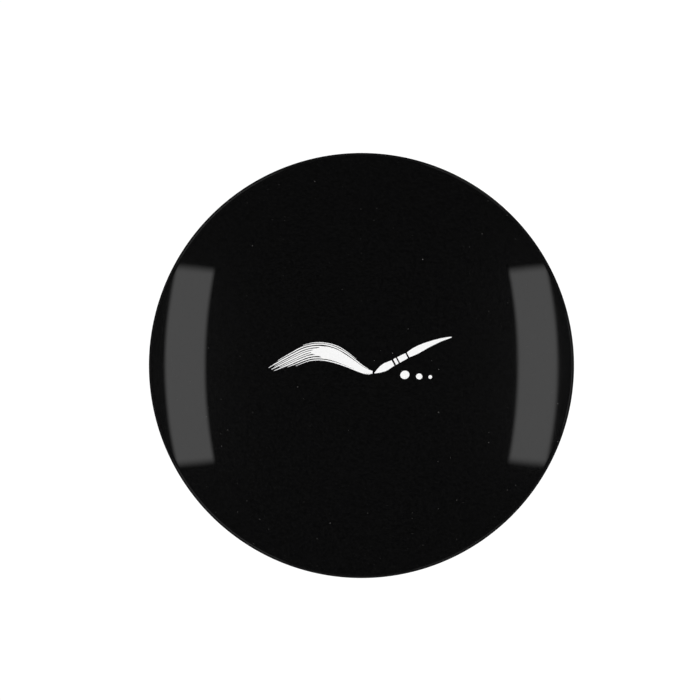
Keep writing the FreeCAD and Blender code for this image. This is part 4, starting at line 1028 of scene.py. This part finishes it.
def build_paper():
    low, high = box_mm("palette_paper")
    radius = high[0]
    flat_z = (low[2] + high[2]) / 2 - 0.02
    verts, _, faces, *_ = geometry.delaunay_2d_cdt(paper_points(radius), [], [], 0, 1e-6)
    paper = mesh_object("paper_disc", [(v.x, v.y, 0.0) for v in verts],
                        [tuple(face) for face in faces], scale=MM * SIM_SCALE)
    cockle(paper, radius)
    heights = [v.co.z for v in paper.data.vertices]
    lowest, highest = min(heights), max(heights)
    # back to life size, with the cockles brought to a set height
    for v, h in zip(paper.data.vertices, heights):
        r = v.co.xy.length / SIM_SCALE / MM
        free = min(1.0, max(0.0, (FLAT_R - r) / FLAT_BLEND))
        lift = 0.0
        if highest - lowest >= 1e-9:
            lift = (h - lowest) / (highest - lowest) * COCKLE_HEIGHT
        z = (flat_z + lift * free * free * (3 - 2 * free)) * MM
        v.co = (v.co.x / SIM_SCALE, v.co.y / SIM_SCALE, z)
        keep_within(v.co, radius * MM)
    solid = paper.modifiers.new("thickness", "SOLIDIFY")
    solid.thickness = PAPER_THICKNESS * MM
    solid.offset = 0
    subdivide_once(paper)
    paper.vertex_groups.clear()
    outward(paper)
    sharp_by_angle(paper, 60)
    install(paper, PAPER, ride="base", replaces="palette_paper")


# --------------------------------------------------------------------- stage

BACKDROP_LEVEL = 1.05  # the white that the camera sees around the case


def floor_material():
    """Pale floor that the camera sees as white away from the case. Polished parts mirror it
    as a glow of its own, with a painted shadow that darkens it close to the case."""
    m = Surface("studio_floor_pale")
    m.set(Base_Color=m.mix(m.noise(scale=6, detail=3, rough=0.5),
                           low=(0.86, 0.86, 0.86), high=(0.88, 0.88, 0.88)),
          Roughness=0.9, Specular_IOR_Level=0.0)
    path = m.add("ShaderNodeLightPath").outputs
    floor_point = m.add("ShaderNodeNewGeometry").outputs
    rise = m.axes(floor_point["Incoming"])["Z"]
    away = m.made("ShaderNodeVectorMath", {0: floor_point["Position"]}, "Value",
                  operation="LENGTH")

    # plain white when seen from steeply above, or far from the case
    steep = m.mask(rise, start=0.90, end=0.97)
    far = m.mask(m.math("DIVIDE", away, 1.0), start=0.16, end=0.62, smooth=True)
    plain = m.times(m.math("MAXIMUM", steep, far), path["Is Camera Ray"])
    lit = m.made("ShaderNodeAddShader", {0: m.principled.outputs[0], 1: m.emission(0.34)})
    seen = m.mix_shader(plain, lit, m.emission(BACKDROP_LEVEL))

    # the mirrored glow, by steepness, by distance from the case (a painted shadow, dark close to
    # the case) and in broad patches
    shallow = m.ramp(rise, stops=[(0.45, 1.0), (0.70, 0.25)], smooth=True)
    beside = m.ramp(away, stops=[
        (0.057, 0.03), (0.070, 0.35), (0.100, 0.90), (0.60, 0.95), (1.0, 0.40)])
    patches = m.mask(m.noise(scale=2.6, detail=1, rough=0.5), start=0.38, end=0.62, smooth=True)
    uneven = m.scaled(patches, gain=0.55, base=0.45)
    # height that the reflected ray came from, times ten: the edge of the lid mirrors the
    # dark room, the base the pale table
    height = m.times(path["Ray Length"], rise)
    above = m.ramp(m.times(height, 10.0), stops=[
        (0.160, 1.0), (0.166, 0.12), (0.25, 0.12), (0.34, 0.80)])
    mirrored = m.emission(m.times(m.times(shallow, beside), m.times(uneven, above)))
    m.feed(m.output, m.mix_shader(path["Is Glossy Ray"], seen, mirrored))
    return m.material


def build_floor():
    half, z = 4000, -0.1
    corners = [(-half, -half, z), (half, -half, z), (half, half, z), (-half, half, z)]
    floor = mesh_object("studio_floor", corners, [(0, 1, 2, 3)])
    dress(floor, floor_material())


def build_world():
    """The room: the camera sees white, matt surfaces get an even fill, and polished
    ones mirror a plain dark room."""
    world = bpy.data.worlds.new("studio")
    scene.world = world
    w = Nodes(world, coordinates="Generated", output="ShaderNodeOutputWorld")
    path = w.add("ShaderNodeLightPath").outputs
    room = w.ramp(w.axes(w.coord)["Z"], stops=[
        (0.0, 0.22), (0.10, 0.13), (0.34, 0.04), (0.56, 0.035), (1.0, 0.035)])
    mirrored = w.made("ShaderNodeBackground", {"Strength": room})
    fill, seen = (
        w.made("ShaderNodeBackground", {"Color": (1, 1, 1), "Strength": strength})
        for strength in (0.55, BACKDROP_LEVEL))
    unseen = w.mix_shader(path["Is Glossy Ray"], fill, mirrored)
    w.feed(w.output, w.mix_shader(path["Is Camera Ray"], unseen, seen))


# square area lights aimed at the origin: (name, place, side, power)
AREA_LIGHTS = [
    ("soft_key", (-0.5, -0.7, 1.3), 0.9, 9.0),
    ("soft_fill", (0.9, 0.3, 1.0), 0.9, 4.0),
]


def add_area_light(name, place, side, power):
    data = bpy.data.lights.new(name, "AREA")
    data.shape = "RECTANGLE"
    data.size = data.size_y = side
    data.energy = power
    light = link(bpy.data.objects.new(name, data))
    light.location = place
    light.rotation_euler = (-Vector(place)).to_track_quat("-Z", "Y").to_euler()
    light.visible_camera = False
    light.visible_glossy = False


# Softboxes: (name, azimuth, elevation, width, height, level). Azimuth is in degrees from
# the front (-Y) towards the right (+X); sizes are in metres.
# One beside the lid on each side
SIDE_BOXES = [
    ("side_left", -90, 45, 0.88, 0.21, 1.5),
    ("side_right", 90, 45, 0.88, 0.21, 1.5),
]
# Low strips for the sides of the case
STRIPS = [
    ("strip_front_left", -42, 15, 1.25, 0.34, 1.0),
    ("strip_front_right", 28, 13, 0.85, 0.28, 0.7),
    ("strip_right", 88, 15, 0.95, 0.32, 0.9),
    ("strip_back_right", 150, 14, 0.80, 0.30, 0.8),
    ("strip_back_left", 222, 15, 1.20, 0.34, 1.0),
]


def softbox_material(name, level, soft):
    """A glow that fades towards the edges; soft is the fade's share across and up."""
    material = bpy.data.materials.new(name)
    m = Nodes(material, coordinates="UV")
    uv = m.axes(m.coord)

    def band(value, fade):
        off_centre = m.math("ABSOLUTE", m.math("SUBTRACT", value, 0.5))
        return m.ramp(off_centre, stops=[(0.5 - fade, 1.0), (0.5, 0.0)], smooth=True)

    strength = m.times(band(uv[0], soft[0]), band(uv[1], soft[1]), level)
    m.feed(m.output, m.emission(strength))
    return material


def add_softbox(name, azimuth, elevation, width, height, level, distance, soft):
    """A plain rectangular softbox facing the case, seen only as a reflection."""
    a, e = math.radians(azimuth), math.radians(elevation)
    direction = (math.sin(a) * math.cos(e), -math.cos(a) * math.cos(e), math.sin(e))
    centre = Vector(direction) * distance
    facing = (-centre).to_track_quat("-Z", "Y").to_matrix()
    corner_uvs = ((0, 0), (1, 0), (1, 1), (0, 1))
    corners = [centre + facing @ Vector(((u - 0.5) * width, (v - 0.5) * height, 0))
               for u, v in corner_uvs]
    mesh = bpy.data.meshes.new(name)
    mesh.from_pydata([tuple(corner) for corner in corners], [], [(0, 1, 2, 3)])
    mesh.uv_layers.new(name="UVMap")
    for loop, uv in zip(mesh.uv_layers[0].data, corner_uvs):
        loop.uv = uv
    box = link(bpy.data.objects.new(name, mesh))
    dress(box, softbox_material(name + "_light", level, soft))
    box.visible_camera = False
    box.visible_diffuse = False
    box.visible_shadow = False
    box.visible_transmission = False


def add_camera():
    data = bpy.data.cameras.new("camera")
    camera = link(bpy.data.objects.new("camera", data))
    scene.camera = camera
    data.sensor_width = 36.0
    # the silhouette is the vertical skirt of the lid, at its largest radius
    data.lens = LID_SHARE * data.sensor_width * CAMERA_DISTANCE / (LID_R * MM)
    camera.location = (0, 0, SKIRT_Z + CAMERA_DISTANCE)
    camera.rotation_euler = (0, 0, 0)
    data.shift_x, data.shift_y = CAMERA_SHIFT
    data.clip_start, data.clip_end = 0.01, 20


# --------------------------------------------------------------------- build

build_lid_cover()
build_lid_mark()
build_spring("spring_coil_left", "latch_spring_left")
build_spring("spring_coil_right", "latch_spring_right")
build_sponge()
build_paper()
scene.frame_set(1)

scene.view_settings.view_transform = "Standard"
scene.view_settings.look = "None"
scene.view_settings.exposure = 0
scene.view_settings.gamma = 1
build_floor()
build_world()
for light_row in AREA_LIGHTS:
    add_area_light(*light_row)
for box_row in SIDE_BOXES:
    add_softbox(*box_row, distance=1.0, soft=(0.06, 0.12))
for box_row in STRIPS:
    add_softbox(*box_row, distance=1.5, soft=(0.16, 0.30))
add_camera()
